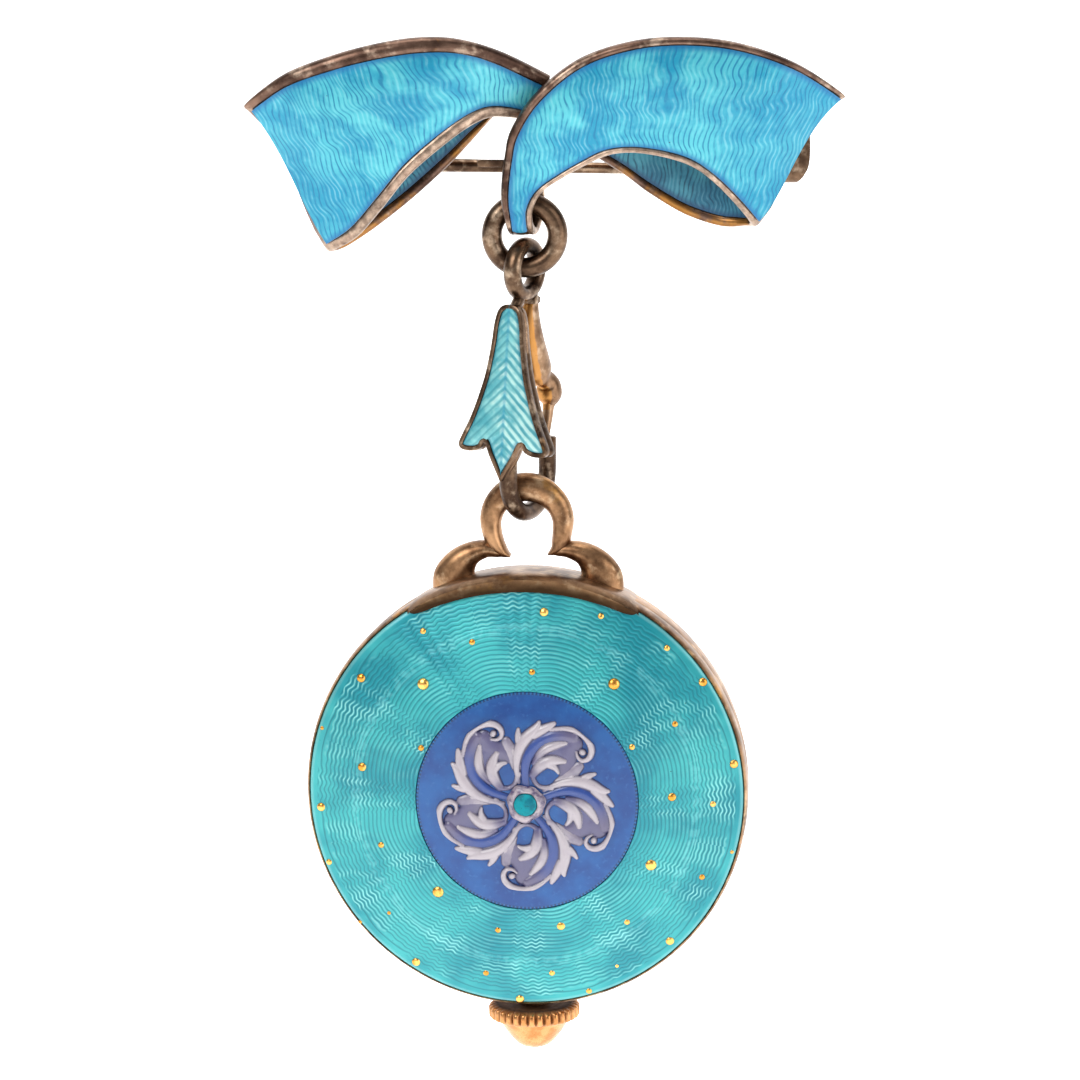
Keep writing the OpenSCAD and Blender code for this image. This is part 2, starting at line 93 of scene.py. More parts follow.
# %% From a grid of points to a piece
def rgb(r, g, b):
    """Linear colour from the 0 to 255 numbers of a colour picker."""
    c = np.array([r, g, b]) / 255
    return tuple(np.where(c < 0.04045, c / 12.92, ((c + 0.055) / 1.055) ** 2.4)) + (1.0,)


def quads_of(rows, cols):
    """Corner numbers of the cells of a grid."""
    n = np.arange(rows * cols).reshape(rows, cols)
    return np.stack([n[:-1, :-1], n[:-1, 1:], n[1:, 1:], n[1:, :-1]], -1).reshape(-1, 4)


def outward(grid):
    """Cells of a closed grid with their faces outwards. Its volume is the sum of a . (b x c) / 6 over
    its triangles, and where that is negative, the cells are turned over."""
    quads = quads_of(*grid.shape[:2])
    a, b, c, d = grid.reshape(-1, 3)[quads].transpose(1, 0, 2)
    volume = np.sum(a * (np.cross(b, c) + np.cross(c, d))) / 6
    return quads[:, [0, 3, 2, 1]] if volume < 0 else quads


def add_piece(name, mesh, body, finish, replaces=()):
    """Puts a mesh into the scene as a piece that rides on a body and may replace CAD nodes."""
    mesh.materials.append(finish)
    piece = bpy.data.objects.new(name, mesh)
    bpy.context.scene.collection.objects.link(piece)
    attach(piece, body)
    if replaces:
        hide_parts(*replaces)


# Points nearer to each other than this become one
WELD = 0.0002 * MM


def make_piece(name, grids, body, finish, slot, uvs=None, marks=None, replaces=(), crease=35):
    """A piece from closed grids of points in millimetres, which rides on a body. uvs are grids of
    pattern coordinates, and marks are named grids of one number per point. Edges where faces meet
    at more than crease degrees stay sharp."""
    starts = np.cumsum([0] + [g.shape[0] * g.shape[1] for g in grids])
    quads = np.concatenate([outward(g) + start for g, start in zip(grids, starts)])
    points = np.concatenate([g.reshape(-1, 3) for g in grids]) * MM
    mesh = bpy.data.meshes.new(name)
    mesh.from_pydata(points.tolist(), [], quads.tolist())
    if uvs is not None:
        flat = np.concatenate([u.reshape(-1, 2) for u in uvs])
        mesh.uv_layers.new(name="pattern").data.foreach_set("uv", flat[quads.ravel()].ravel())
    for mark, values in (marks or {}).items():
        flat = np.concatenate([v.ravel() for v in values]).astype(np.float32)
        mesh.attributes.new(mark, "FLOAT", "POINT").data.foreach_set("value", flat)
    shell = bmesh.new()
    shell.from_mesh(mesh)
    bmesh.ops.remove_doubles(shell, verts=shell.verts, dist=WELD)
    open_edges = sum(len(e.link_faces) != 2 for e in shell.edges)
    shell.to_mesh(mesh)
    shell.free()
    mesh.shade_smooth()
    mesh.set_sharp_from_angle(angle=math.radians(crease))
    add_piece(name, mesh, body, finish, replaces)
    print(f"{name}: {len(mesh.polygons)} faces, {open_edges} open edges")


def closed_sheet(front, back):
    """Closed shell between two grids of the same shape. Each row runs over the front and back over
    the back, and at both ends a row along the middle closes it. Grids of marks close alike."""
    middle = (front + back) / 2

    def loop(a, b):
        return np.concatenate([a, b[:, ::-1], a[:, :1]], 1)

    first, last = middle[:1], middle[-1:]
    return np.concatenate([loop(first, first), loop(front, back), loop(last, last)])


def unit(v):
    """Vectors made one long."""
    return v / np.linalg.norm(v, axis=-1, keepdims=True)


def tube(path, radius, ref, sides=32, closed=False, depth=None):
    """Tube along a path that lies in a plane with the normal ref. Each ring of points is radius *
    cos a along the path's own normal and depth * sin a along ref. Open ends close to a point."""
    way = np.gradient(path, axis=0)
    if closed:
        way = np.roll(path[:-1], -1, 0) - np.roll(path[:-1], 1, 0)
        way = np.concatenate([way, way[:1]])
    ref = np.array(ref, float)
    side = unit(np.cross(unit(way), ref))
    a = np.linspace(0, 2 * np.pi, sides + 1)
    depth = np.broadcast_to(radius if depth is None else depth, len(path))[:, None, None]
    radius = np.broadcast_to(radius, len(path))[:, None, None]
    rings = path[:, None] + (radius * np.cos(a)[None, :, None] * side[:, None]
                             + depth * np.sin(a)[None, :, None] * ref)
    if closed:
        return rings
    ends = [np.repeat(path[i][None, None], sides + 1, 1) for i in (0, -1)]
    return np.concatenate([ends[0], rings, ends[1]])


def lathe(profile, sides=192):
    """Solid of revolution round the y axis from points [radius, height toward the viewer]."""
    p = np.asarray(profile, float)
    a = np.linspace(0, 2 * np.pi, sides + 1)[:, None]
    return np.stack([p[:, 0] * np.cos(a), -p[:, 1] + 0 * a, p[:, 0] * np.sin(a)], -1)


def rows_at(table, u):
    """Catmull-Rom curve: the table's rows joined by cubics that pass through each row."""
    n = len(table) - 1
    i = np.clip(np.floor(u).astype(int), 0, n - 1)
    f = (u - i)[:, None]
    a, b, c, d = table[np.maximum(i - 1, 0)], table[i], table[i + 1], table[np.minimum(i + 2, n)]
    square, cube = 2 * a - 5 * b + 4 * c - d, 3 * b - a - 3 * c + d
    return (2 * b + (c - a) * f + square * f**2 + cube * f**3) / 2


def smooth_path(points, steps=12):
    """Catmull-Rom curve through the rows of a table, with steps between two rows."""
    table = np.asarray(points, float)
    return rows_at(table, np.linspace(0, len(table) - 1, (len(table) - 1) * steps + 1))


def pillow(low, high, power=0.3, rows=15, cols=33):
    """Block with soft edges between two corners: a sphere whose sines and cosines are raised to a
    small power, so that it swells toward the corners of its box. They are rounded first, because
    the power would make a seam's rounding errors large."""
    def swell(t):
        t = np.round(t, 12)
        return np.sign(t) * np.abs(t) ** power

    v = np.linspace(-np.pi / 2, np.pi / 2, rows)[:, None]
    u = np.linspace(0, 2 * np.pi, cols)[None]
    ball = np.stack([swell(np.cos(v)) * swell(np.cos(u)), swell(np.cos(v)) * swell(np.sin(u)),
                     swell(np.sin(v)) + 0 * u], -1)
    low, high = np.array(low, float), np.array(high, float)
    return (low + high) / 2 + ball * (high - low) / 2


def turn(angle, axis):
    """Matrix of a turn by degrees about x, y or z."""
    c, s = math.cos(math.radians(angle)), math.sin(math.radians(angle))
    i, j = {"x": (1, 2), "y": (2, 0), "z": (0, 1)}[axis]
    m = np.eye(3)
    m[i, i] = m[j, j] = c
    m[i, j], m[j, i] = -s, s
    return m

# %% [markdown]
# ## Finishes
# Every finish is a Principled shader whose colour, roughness and bump are worked out from noise and
# waves. The small class below lets the sums be written as Python expressions.

# %% Shader maths as Python expressions
class Wire:
    """A number that runs through a finish. Each operator adds the Math node that it names."""

    def __init__(self, finish, socket):
        self.finish, self.socket = finish, socket

    def math(self, operation, *others):
        return self.finish.node("Math", {"operation": operation}, self, *others)

    def from_left(self, operation, other):
        return self.finish.node("Math", {"operation": operation}, other, self)

    def __add__(self, other): return self.math("ADD", other)
    def __radd__(self, other): return self.math("ADD", other)
    def __sub__(self, other): return self.math("SUBTRACT", other)
    def __rsub__(self, other): return self.from_left("SUBTRACT", other)
    def __mul__(self, other): return self.math("MULTIPLY", other)
    def __rmul__(self, other): return self.math("MULTIPLY", other)
    def __truediv__(self, other): return self.math("DIVIDE", other)
    def __rtruediv__(self, other): return self.from_left("DIVIDE", other)

    def sin(self): return self.math("SINE")
    def abs(self): return self.math("ABSOLUTE")
    def root(self): return self.math("SQRT")
    def fract(self): return self.math("FRACT")
    def least(self, other): return self.math("MINIMUM", other)
    def most(self, other): return self.math("MAXIMUM", other)

    def step(self, low, high):
        """0 below low, 1 above high and smooth between; the other way round if low is the higher."""
        settings = {"interpolation_type": "SMOOTHSTEP"}
        if low < high:
            return self.finish.node("MapRange", settings, self, low, high, 0, 1)
        return self.finish.node("MapRange", settings, self, high, low, 1, 0)


class Finish:
    """A material, with one method for every kind of node."""

    def __init__(self, name):
        self.material = bpy.data.materials.new(name)
        self.material.use_nodes = True
        self.tree = self.material.node_tree
        self.principled = self.tree.nodes["Principled BSDF"]

    def fill(self, socket, value):
        """Links or sets one input."""
        value = getattr(value, "socket", value)
        if isinstance(value, bpy.types.NodeSocket):
            self.tree.links.new(value, socket)
        else:
            socket.default_value = value

    def node(self, kind, settings, *values, out=0, **named):
        """Adds a node. Its settings come first, then values or wires for its inputs, in order or by
        name. Returns the output with the given number or name."""
        new = self.tree.nodes.new("ShaderNode" + kind)
        for key, value in settings.items():
            setattr(new, key, value)
        for socket, value in zip(new.inputs, values):
            self.fill(socket, value)
        for key, value in named.items():
            self.fill(new.inputs[key.replace("_", " ")], value)
        return Wire(self, new.outputs[out])

    def mix(self, share, a, b):
        """Colour a where share is 0 and b where it is 1."""
        new = self.tree.nodes.new("ShaderNodeMix")
        new.data_type = "RGBA"
        for socket, value in zip((new.inputs[0], new.inputs[6], new.inputs[7]), (share, a, b)):
            self.fill(socket, value)
        return Wire(self, new.outputs[2])

    def place(self):
        """Object coordinates, in metres."""
        return self.node("TexCoord", {}, out="Object")

    def pattern(self):
        """The piece's own pattern coordinates, in millimetres, as two numbers."""
        uv = self.node("UVMap", {"uv_map": "pattern"})
        return (self.node("SeparateXYZ", {}, uv, out="X"), self.node("SeparateXYZ", {}, uv, out="Y"))

    def polar(self):
        """Pattern coordinates x and z, their distance from the middle and their share of a turn."""
        x, z = self.pattern()
        share = self.node("Math", {"operation": "ARCTAN2"}, z, x) / (2 * math.pi)
        return x, z, (x * x + z * z).root(), share

    def mark(self, name):
        """A number stored on the piece's points."""
        return self.node("Attribute", {"attribute_name": name}, out="Fac")

    def at(self, x, y, z=0.0):
        """Vector from three numbers."""
        return self.node("CombineXYZ", {}, x, y, z)

    def noise(self, vector, size, detail=3, roughness=0.55):
        """Noise from 0 to 1 whose blotches are about size wide, in the vector's own unit."""
        return self.node("TexNoise", {}, Vector=vector, Scale=1 / size, Detail=detail,
                         Roughness=roughness)

    def bump(self, height, depth, strength):
        """Normal of a relief: height from 0 to 1 is depth millimetres."""
        return self.node("Bump", {}, Height=height, Distance=depth * MM, Strength=strength)

    def done(self, **inputs):
        """Sets the shader's inputs and returns the material."""
        for key, value in inputs.items():
            self.fill(self.principled.inputs[key.replace("_", " ")], value)
        return self.material

# %% [markdown]
# The metal is silver-gilt that has lost most of its gilding. It is brown where tarnish lies, rosy
# silver where handling rubs it, and golden in a few patches. Two noises of different size place the
# tones, and fine streaks give the brushed roughness.

# %% Tarnished silver-gilt
def silver_gilt(name, dark, mid, light, golden, lost, rough):
    """Tarnished metal that has lost its gilding where a noise is under lost. Marks of the piece may
    steer it: golden keeps gilding, polish lightens, and a mark of painted shade and dirt darkens it."""
    f = Finish(name)
    here = f.place()
    cloud = f.noise(here, 2.6 * MM, 4, 0.6)
    fine = f.noise(here, 0.45 * MM, 4, 0.65)
    tone = (cloud * 0.75 + fine * 0.25).step(0.34, 0.66)
    colour = f.mix(tone, dark, mid)
    worn = (f.noise(here, 1.1 * MM, 3) * 0.7 + fine * 0.3).step(0.5, 0.7)
    colour = f.mix(worn * 0.55 + f.mark("polish") * (fine * 1.3 - 0.25), colour, light)
    elsewhere = f.node("VectorMath", {"operation": "ADD"}, here, (0.4, 0.1, 0.7))
    leaf = f.noise(elsewhere, 3.2 * MM, 4, 0.7)
    patch = (leaf + f.mark("golden") * 0.16).step(lost - 0.02, lost + 0.13)
    colour = f.mix(patch * (0.6 + 0.25 * fine), colour, golden)
    specks = f.noise(here, 0.16 * MM, 2, 0.7)
    colour = f.mix(specks.step(0.66, 0.74) * 0.5, colour, rgb(38, 28, 24))
    # Painted shade and dirt: a mark of the piece darkens the metal toward dark brown.
    colour = f.mix(f.mark("shade_and_grime") * (0.55 + 0.4 * cloud), colour, rgb(46, 32, 20))
    return f.done(Base_Color=colour, Metallic=1.0,
                  Roughness=rough + 0.22 * fine + 0.1 * (1 - tone),
                  Normal=f.bump(fine * 0.6 + specks * 0.4, 0.01, 0.5))


# Tones of tarnish, metal, rubbed metal and gilding, the share of gilding lost, and the roughness
METALS = {
    "silver_gilt": ((56, 41, 32), (118, 94, 74), (204, 180, 154), (168, 116, 54), 0.66, 0.16),
    "ribbon_rim": ((62, 45, 38), (120, 94, 80), (204, 180, 158), (160, 110, 48), 0.64, 0.22),
    "lever_gilt": ((104, 78, 58), (150, 120, 94), (204, 178, 150), (180, 124, 58), 0.6, 0.2),
    "case_metal": ((92, 64, 44), (172, 132, 96), (230, 198, 160), (206, 150, 80), 0.58, 0.2)}
silver, rim_metal, lever_metal, case_metal = (
    silver_gilt(name, *(rgb(*tone) for tone in tones), lost, rough)
    for name, (*tones, lost, rough) in METALS.items())
print("metals:", silver.name, rim_metal.name, lever_metal.name, case_metal.name)

# %% [markdown]
# Translucent enamel is coloured glass over engraved silver. The engraving shows through it, and the
# glass above is smooth. So the base is bumped, partly metallic and tinted by the pattern, and a clear
# coat with an even surface lies over it.

# %% Enamel of the ribbon
# Length of a wave down the ribbon and distance of the cuts across it
WAVE, PITCH = 2.1, 0.29


def ribbon_enamel(name, deep, base, pale, light, edge_line):
    """Wavy cuts down the ribbon, PITCH apart. Their phase is u + swing * sin(v), bent by noise, with
    one swing to each WAVE of v."""
    f = Finish(name)
    u, v = f.pattern()
    drift = f.noise(f.at(u, v), 3.2, 1) - 0.5
    stray = f.noise(f.at(u * 1.5, v * 0.6, 6.0), 1.0, 2) - 0.5
    swing = 0.1 * (v * (2 * math.pi / WAVE) + drift * 12).sin()
    bent = u + swing + drift * 1.1 + stray * 0.22
    wave = (bent * (2 * math.pi / PITCH)).sin() * 0.5 + 0.5
    depth = f.noise(f.at(u * 1.2, v * 0.6), 0.9, 3, 0.6)
    cut = (1 - wave).step(0.62, 1.0) * depth.step(0.36, 0.6)
    cloud = f.noise(f.at(u, v, 3.0), 3.0, 4, 0.6).step(0.36, 0.64)
    colour = f.mix(cloud, base, pale)
    colour = f.mix(u.abs().step(8.0, 17.0) * 0.7, colour, base)
    colour = f.mix(cut * 0.85, colour, deep)
    # Painted highlight: the crests between the cuts are lightened in patches where the cuts are
    # shallow.
    colour = f.mix(wave.step(0.5, 1.0) * (1 - depth).step(0.4, 0.66) * 0.3, colour, light)
    near = f.mark("edge").step(0.5, 0.04)
    colour = f.mix(near * 0.85, colour, edge_line)
    pits = f.noise(f.at(u, v, 9.0), 0.3, 1)
    colour = f.mix(pits.step(0.8, 0.83), colour, rgb(30, 60, 80))
    return f.done(Base_Color=colour, Metallic=0.4, Roughness=0.38 + 0.15 * depth,
                  Normal=f.bump((1 - cut) * (1 - near), 0.02, 0.45),
                  Coat_Weight=0.22, Coat_Roughness=0.08)


# Tones of the cuts, the glass, its pale clouds, its painted highlights and its line along the rims
GLASS = {
    "sky_enamel": ((0, 100, 140), (0, 128, 160), (72, 172, 184), (144, 200, 204), (2, 94, 146)),
    "deep_enamel": ((6, 52, 78), (20, 92, 118), (60, 134, 152), (110, 164, 178), (10, 56, 92))}
sky_enamel, deep_enamel = (ribbon_enamel(name, *(rgb(*tone) for tone in tones))
                           for name, tones in GLASS.items())
print("ribbon enamels:", sky_enamel.name, deep_enamel.name)

# %% [markdown]
# ## The ribbon bow
# Each loop is one strip of sheet that runs from the knot over the front, folds back and ends behind.
# A table gives its two edges at each section, as the CAD source does, and smooth curves through
# the rows give every point between them.

# %% Sections of the two loops
# Columns: top edge x, y, z, bottom edge x, y, z, and what the last three names stand for
FRONT_RIM, BACK_RIM, SWELL = 6, 7, 8
LEFT = np.array([
    [1.4, -4.5, 6.0, -0.6, -4.5, 3.4, 1, 0, 1], [-1.5, -5.1, 7.5, -2.2, -4.9, 3.5, 1, 0, 1],
    [-4.1, -5.8, 8.35, -3.5, -5.5, 3.0, 1, 0, 1], [-6.5, -6.2, 8.5, -5.3, -6.0, 1.7, 1, 0, 1],
    [-9.2, -6.3, 8.1, -7.2, -6.2, 0.0, 1, 0, 1], [-12.0, -6.0, 7.3, -8.8, -6.1, -2.0, 1, 0, 1],
    [-14.8, -5.4, 6.1, -10.3, -5.6, -3.75, 1, 0, 0.4],
    [-17.1, -4.4, 4.2, -11.75, -4.4, -4.75, 0, 0, -1.7],
    [-15.4, -3.4, 4.8, -11.1, -3.3, -4.7, 0, 1, -0.4],
    [-12.8, -2.6, 6.3, -9.3, -2.7, -3.6, 0, 1, 1], [-9.5, -2.3, 7.2, -7.1, -2.5, -1.9, 0, 1, 1],
    [-6.0, -2.3, 7.4, -4.9, -2.5, 0.1, 0, 1, 1], [-3.0, -2.5, 6.9, -3.4, -2.6, 1.7, 0, 1, 1],
    [0.2, -2.9, 6.0, -2.2, -2.9, 3.1, 0, 1, 1]])
RIGHT = np.array([
    [-0.5, -4.85, -0.75, 0.7, -4.85, -0.75, 0, 0, 1],
    [-0.5, -4.0, -0.7, 1.0, -4.0, -0.7, 0, 0, 1], [-0.5, -3.35, -1.5, 1.1, -3.35, -1.5, 0, 0, 1],
    [-0.7, -3.4, -2.8, 1.0, -3.4, -2.8, 0, 0, 1], [-1.0, -4.5, -3.5, 0.7, -4.5, -3.5, 0, 0, 1],
    [-1.25, -5.6, -2.9, 0.4, -5.6, -3.0, 0.7, 0, 1],
    [-1.5, -5.75, -1.9, 0.4, -5.75, -2.0, 1, 0, 1], [-1.56, -5.8, -0.7, 1.0, -5.8, -0.9, 1, 0, 1],
    [-1.35, -5.9, 1.2, 2.3, -5.9, 0.0, 1, 0, 1], [-0.95, -6.1, 2.9, 3.7, -6.0, 0.8, 1, 0, 1],
    [0.5, -6.3, 5.1, 5.1, -6.2, 1.4, 1, 0, 1], [3.1, -6.4, 7.2, 6.7, -6.3, 1.5, 1, 0, 1],
    [6.3, -6.5, 8.3, 8.5, -6.4, 1.2, 1, 0, 1], [9.6, -6.4, 8.55, 10.1, -6.3, 0.6, 1, 0, 1],
    [13.0, -6.1, 8.1, 11.5, -6.0, -0.5, 1, 0, 1], [16.4, -5.5, 6.8, 12.8, -5.5, -1.9, 1, 0, 0.4],
    [19.25, -4.4, 4.8, 13.65, -4.5, -3.1, 0, 0, -2.1],
    [17.2, -3.4, 5.6, 13.3, -3.4, -3.4, 0, 1, -0.4], [14.3, -2.7, 6.6, 11.9, -2.7, -3.5, 0, 1, 1],
    [11.0, -2.4, 7.3, 9.7, -2.5, -2.8, 0, 1, 1], [8.0, -2.4, 7.3, 7.5, -2.5, -1.5, 0, 1, 1],
    [5.0, -2.6, 6.7, 5.9, -2.6, -0.3, 0, 1, 1], [2.2, -2.9, 5.6, 4.2, -2.9, 0.8, 0, 1, 1]])
# Half the sheet's thickness, a rim's height over it, and the bulge for one millimetre of width
SHEET, RIM, BULGE = 0.22, 0.28, 0.04


def ribbon_at(table, side, u, across, height):
    """Points of a loop: the top edge, plus across millimetres toward the bottom edge, plus height
    along the outward normal, with the table's bulge, which is 6.75 w (1 - w)^2 of its greatest at the
    share w of the width. A hollow fold swells again by w sqrt(w (1 - w)) toward its lower corner.
    across and height are grids, one row per u."""
    r, ahead, behind = rows_at(table, u), rows_at(table, u + 0.05), rows_at(table, u - 0.05)
    way = ahead[:, :6].reshape(-1, 2, 3).mean(1) - behind[:, :6].reshape(-1, 2, 3).mean(1)
    over = r[:, 3:6] - r[:, :3]
    width = np.linalg.norm(over, axis=1)[:, None]
    out = unit(np.cross(way, over) * side)
    w = np.clip(across / width, 0, 1)
    swell = r[:, SWELL, None]
    lift = height + BULGE * swell * width * 6.75 * w * (1 - w) ** 2
    lift = lift + 0.5 * np.maximum(-swell, 0) * w * np.sqrt(w * (1 - w))
    return r[:, None, :3] + over[:, None] * w[..., None] + out[:, None] * lift[..., None]


def width_at(table, u):
    """Width of the strip, one column."""
    r = rows_at(table, u)
    return np.linalg.norm(r[:, 3:6] - r[:, :3], axis=1)[:, None]


def engraving_at(points):
    """Pattern coordinates of the ribbon: x plus a slant times z, and z. The cuts run nearly upright
    over both loops and lean outward at the ends."""
    x, z = points[..., 0], points[..., 2]
    slant = np.interp(x, [-9, -3, 8, 16], [0.45, 0.1, 0.0, -0.3])
    return np.stack([x + slant * z, z], -1)

# %% [markdown]
# The sheet carries rounded rims that hold the enamel. A rim is a flattened bead: its height over the
# sheet follows a superellipse, which is steep at its sides and nearly flat on top.

# %% Ribbon sheets with their rims
# Places of the columns over a rim, and the number of columns between the two rims
BEAD = np.array([0, 0.04, 0.14, 0.3, 0.5, 0.7, 0.86, 0.96, 1.0])
BETWEEN = 7


def bead(x, power=2.6):
    """Superellipse from 0 over 1 to 0."""
    return np.maximum(0, 1 - np.abs(2 * x - 1) ** power) ** (1 / power)


def rim_widths(table, u, top, bottom):
    """Widths of the two rims, at most 0.3 of the strip."""
    cap = 0.3 * width_at(table, u)
    return np.minimum(top(u)[:, None], cap), np.minimum(bottom(u)[:, None], cap)


def sheet_face(table, u, top, bottom, column):
    """Grids across and height of one face, whose rims rise by the table's column."""
    wide = width_at(table, u)
    a, b = rim_widths(table, u, top, bottom)
    inner = np.linspace(0, 1, BETWEEN + 2)[1:-1]
    across = np.concatenate([a * BEAD, a + (wide - a - b) * inner, wide - b * BEAD[::-1]], 1)
    rise = RIM * np.clip(rows_at(table, u)[:, column, None], 0, 1)
    outer = BEAD <= 0.5
    one = np.where(outer, (SHEET + rise) * bead(BEAD), SHEET + rise * bead(BEAD))
    flat = np.full((len(u), BETWEEN), SHEET)
    return across, np.concatenate([one, flat, one[:, ::-1]], 1)


def ribbon_sheet(table, side, u, top, bottom):
    """Closed shell of a whole loop."""
    across, up = sheet_face(table, u, top, bottom, FRONT_RIM)
    down = sheet_face(table, u, top, bottom, BACK_RIM)[1]
    return closed_sheet(ribbon_at(table, side, u, across, up),
                        ribbon_at(table, side, u, across, -down))


def taper(low, high, start, end, behind=0.0):
    """A width that is high in the middle of the front run and low at its ends. It grows again by
    behind on the part that is folded back."""
    def at(u):
        swell = np.sin(np.pi * np.clip((u - start) / (end - start), 0, 1)) ** 0.7
        return low + (high - low) * swell + behind * np.clip((u - end) / 1.2, 0, 1)
    return at


# Table, side and widths of the rims of each loop
LOOPS = {"left": (LEFT, 1, taper(0.5, 0.9, -1, 7.2), taper(0.45, 0.85, -1, 7.4, 0.25)),
         "right": (RIGHT, -1, taper(0.26, 0.52, 4, 16.4), taper(0.36, 0.48, 5, 16.4, 0.3))}


def bow_loop(where, sections, replaces=()):
    """One loop of sheet with its rims. Its back half keeps more of its gilding, and the front rim of
    its lower edge is the most polished."""
    table, side, top, bottom = LOOPS[where]
    u = np.linspace(0, len(table) - 1, sections)
    shell = ribbon_sheet(table, side, u, top, bottom)
    behind = np.clip(rows_at(table, u)[:, BACK_RIM, None], 0, 1)
    behind = np.concatenate([behind[:1], behind, behind[-1:]]) + 0 * shell[..., 0]
    column = np.arange(shell.shape[1]) - len(BEAD) - BETWEEN
    lower = (column >= 0) & (column < 2 * len(BEAD))
    make_piece(f"{where}_ribbon", [shell], "brooch", rim_metal, "silver_gilt", replaces=replaces,
               marks={"golden": [1.2 * behind], "polish": [lower * (1 - behind)]})


bow_loop("left", 170, ["bow_ribbon"])
bow_loop("right", 290)

# %% [markdown]
# The enamel fills the strip between the rims. Its face is crowned a little and sinks to the rims, as
# fired glass does. It stores how far each point is from the nearest rim, because the glass looks
# darker there.

# %% Enamels of the loops
def enamel_of(where, name, node, face, u0, u1, rows, finish, slot, cols=21):
    """Closed crowned shell between the rims, on the outer face (1) or the inner one (-1)."""
    table, side, top, bottom = LOOPS[where]
    u = np.linspace(u0, u1, rows)
    wide = width_at(table, u)
    a, b = rim_widths(table, u, top, bottom)
    x = 0.5 - 0.5 * np.cos(np.linspace(0, np.pi, cols))
    across = a + 0.02 + (wide - a - b - 0.04) * x
    high = SHEET + RIM * 0.62 + 0.09 * (1 - np.abs(2 * x - 1) ** 3) + 0 * across
    low = SHEET + 0.02 + 0 * across
    edge = np.minimum(across - a, wide - b - across)
    front = ribbon_at(table, side, u, across, face * high)
    back = ribbon_at(table, side, u, across, face * low)
    pattern = engraving_at(front)
    make_piece(f"{where}_{name}", [closed_sheet(front, back)], "brooch", finish, slot,
               uvs=[closed_sheet(pattern, pattern)], marks={"edge": [closed_sheet(edge, edge)]},
               replaces=[f"{where}_{node}"])


enamel_of("left", "sky_glass", "front_enamel", 1, 0.03, 6.82, 150, sky_enamel, "sky_enamel")
enamel_of("right", "sky_glass", "front_enamel", 1, 4.85, 15.9, 230, sky_enamel, "sky_enamel")
enamel_of("left", "blue_glass", "back_enamel", -1, 7.4, 12.6, 90, deep_enamel, "deep_enamel")
enamel_of("right", "blue_glass", "back_enamel", -1, 16.5, 21.6, 90, deep_enamel, "deep_enamel")

# %% [markdown]
# ## Fittings behind the bow
# Solder joins the two loops at the knot. The pin turns in a hinge behind the left loop, and its point
# lies in a catch of bent sheet behind the right one. Blocks with soft edges and a swept sheet do here,
# because such parts are filed by hand and never sharp.

# %% Solder, hinge and catch
# Places of hinge and catch along the pin, the catch's inside radius, and half its thickness
HINGE_X, CATCH_X = -11.3, 16.15
CATCH_RADIUS, CATCH_HALF = 0.56, 0.14


def catch_sheet():
    """Sheet of even thickness along a path of straight runs and an arc under the pin's point. Its
    right edge is convex, from a table of widths over the share t of the length."""
    a = np.linspace(np.pi, np.pi * 1.79, 16)
    wall = smooth_path([[-2.7, 3.5], [-1.7, 4.0], [-0.75, 3.75], [-0.57, 2.9], [-0.56, 1.4],
                        [-0.56, 0.2], [-0.56, -0.5]], 6)
    arc = np.stack([CATCH_RADIUS * np.cos(a), -0.5 + CATCH_RADIUS * np.sin(a)], -1)
    path = np.concatenate([wall, arc[1:]])
    way = unit(np.gradient(path, axis=0))
    out = np.stack([way[:, 1], -way[:, 0]], -1)
    t = np.linspace(0, 1, len(path))
    edge = np.array([[0, 0.4], [0.2, 0.9], [0.36, 1.2], [0.5, 1.28], [0.62, 1.2], [0.74, 0.9],
                     [0.84, 0.5], [1, 0.3]])
    right = rows_at(edge, np.interp(t, edge[:, 0], np.arange(len(edge))))[:, 1]
    left = 0.9 - 0.6 * np.clip((t - 0.7) / 0.3, 0, 1) ** 2
    k = np.sin(np.linspace(-np.pi / 2, np.pi / 2, 15))[None]
    x = CATCH_X + np.where(k > 0, right[:, None], left[:, None]) * k

    def face(shift):
        p = path + out * shift
        return np.stack([x, p[:, :1] + 0 * x, p[:, 1:] + 0 * x], -1)

    return closed_sheet(face(CATCH_HALF), face(-CATCH_HALF))


def upright(x, z, radius, half):
    """Round boss along z with a rounded edge, from a half profile turned round its axis."""
    e = 0.14
    top = [[0, half], [radius - e, half], [radius - e * 0.3, half - e * 0.3], [radius, half - e]]
    profile = top + [[r, -h] for r, h in top[::-1]]
    return lathe(profile, 48)[..., [0, 2, 1]] * [1, 1, -1] + [x, 0, z]


fittings = [pillow([0.5, -6.0, 3.4], [1.7, -2.7, 4.7]), pillow([1.2, -4.4, 3.7], [3.3, -2.8, 4.9]),
            pillow([-3.0, -5.5, 0.5], [-0.9, -5.2, 0.95]),
            pillow([HINGE_X - 1.3, -2.3, -1.7], [HINGE_X + 1.3, -1.1, 1.7], 0.2), catch_sheet(),
            upright(HINGE_X, 0, 0.26, 1.85)]
for z in (-1.2, 1.2):
    fittings += [upright(HINGE_X, z, 0.8, 0.5),
                 pillow([HINGE_X - 0.78, -1.4, z - 0.48], [HINGE_X + 0.78, 0, z + 0.48], 0.2)]
make_piece("bow_fittings", fittings, "brooch", silver, "silver_gilt")


def dress(node, finish):
    """Gives a CAD node its finish."""
    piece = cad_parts[node]
    piece.data.materials.clear()
    piece.data.materials.append(finish)


for node in ("pin_stem", "jump_ring"):
    dress(node, silver)

# %% [markdown]
# ## The snap hook
# The hook is cast: an eye round the ring, a leaf-shaped plate in front, and the hook below. Its frame
# is turned 30 degrees to the left. The leaf's outline comes from a table of half widths. A third
# column gives the point on the midrib from which the section runs down and out to that half width, as
# the veins of a leaf do, so the lobes at the bottom need no cut.

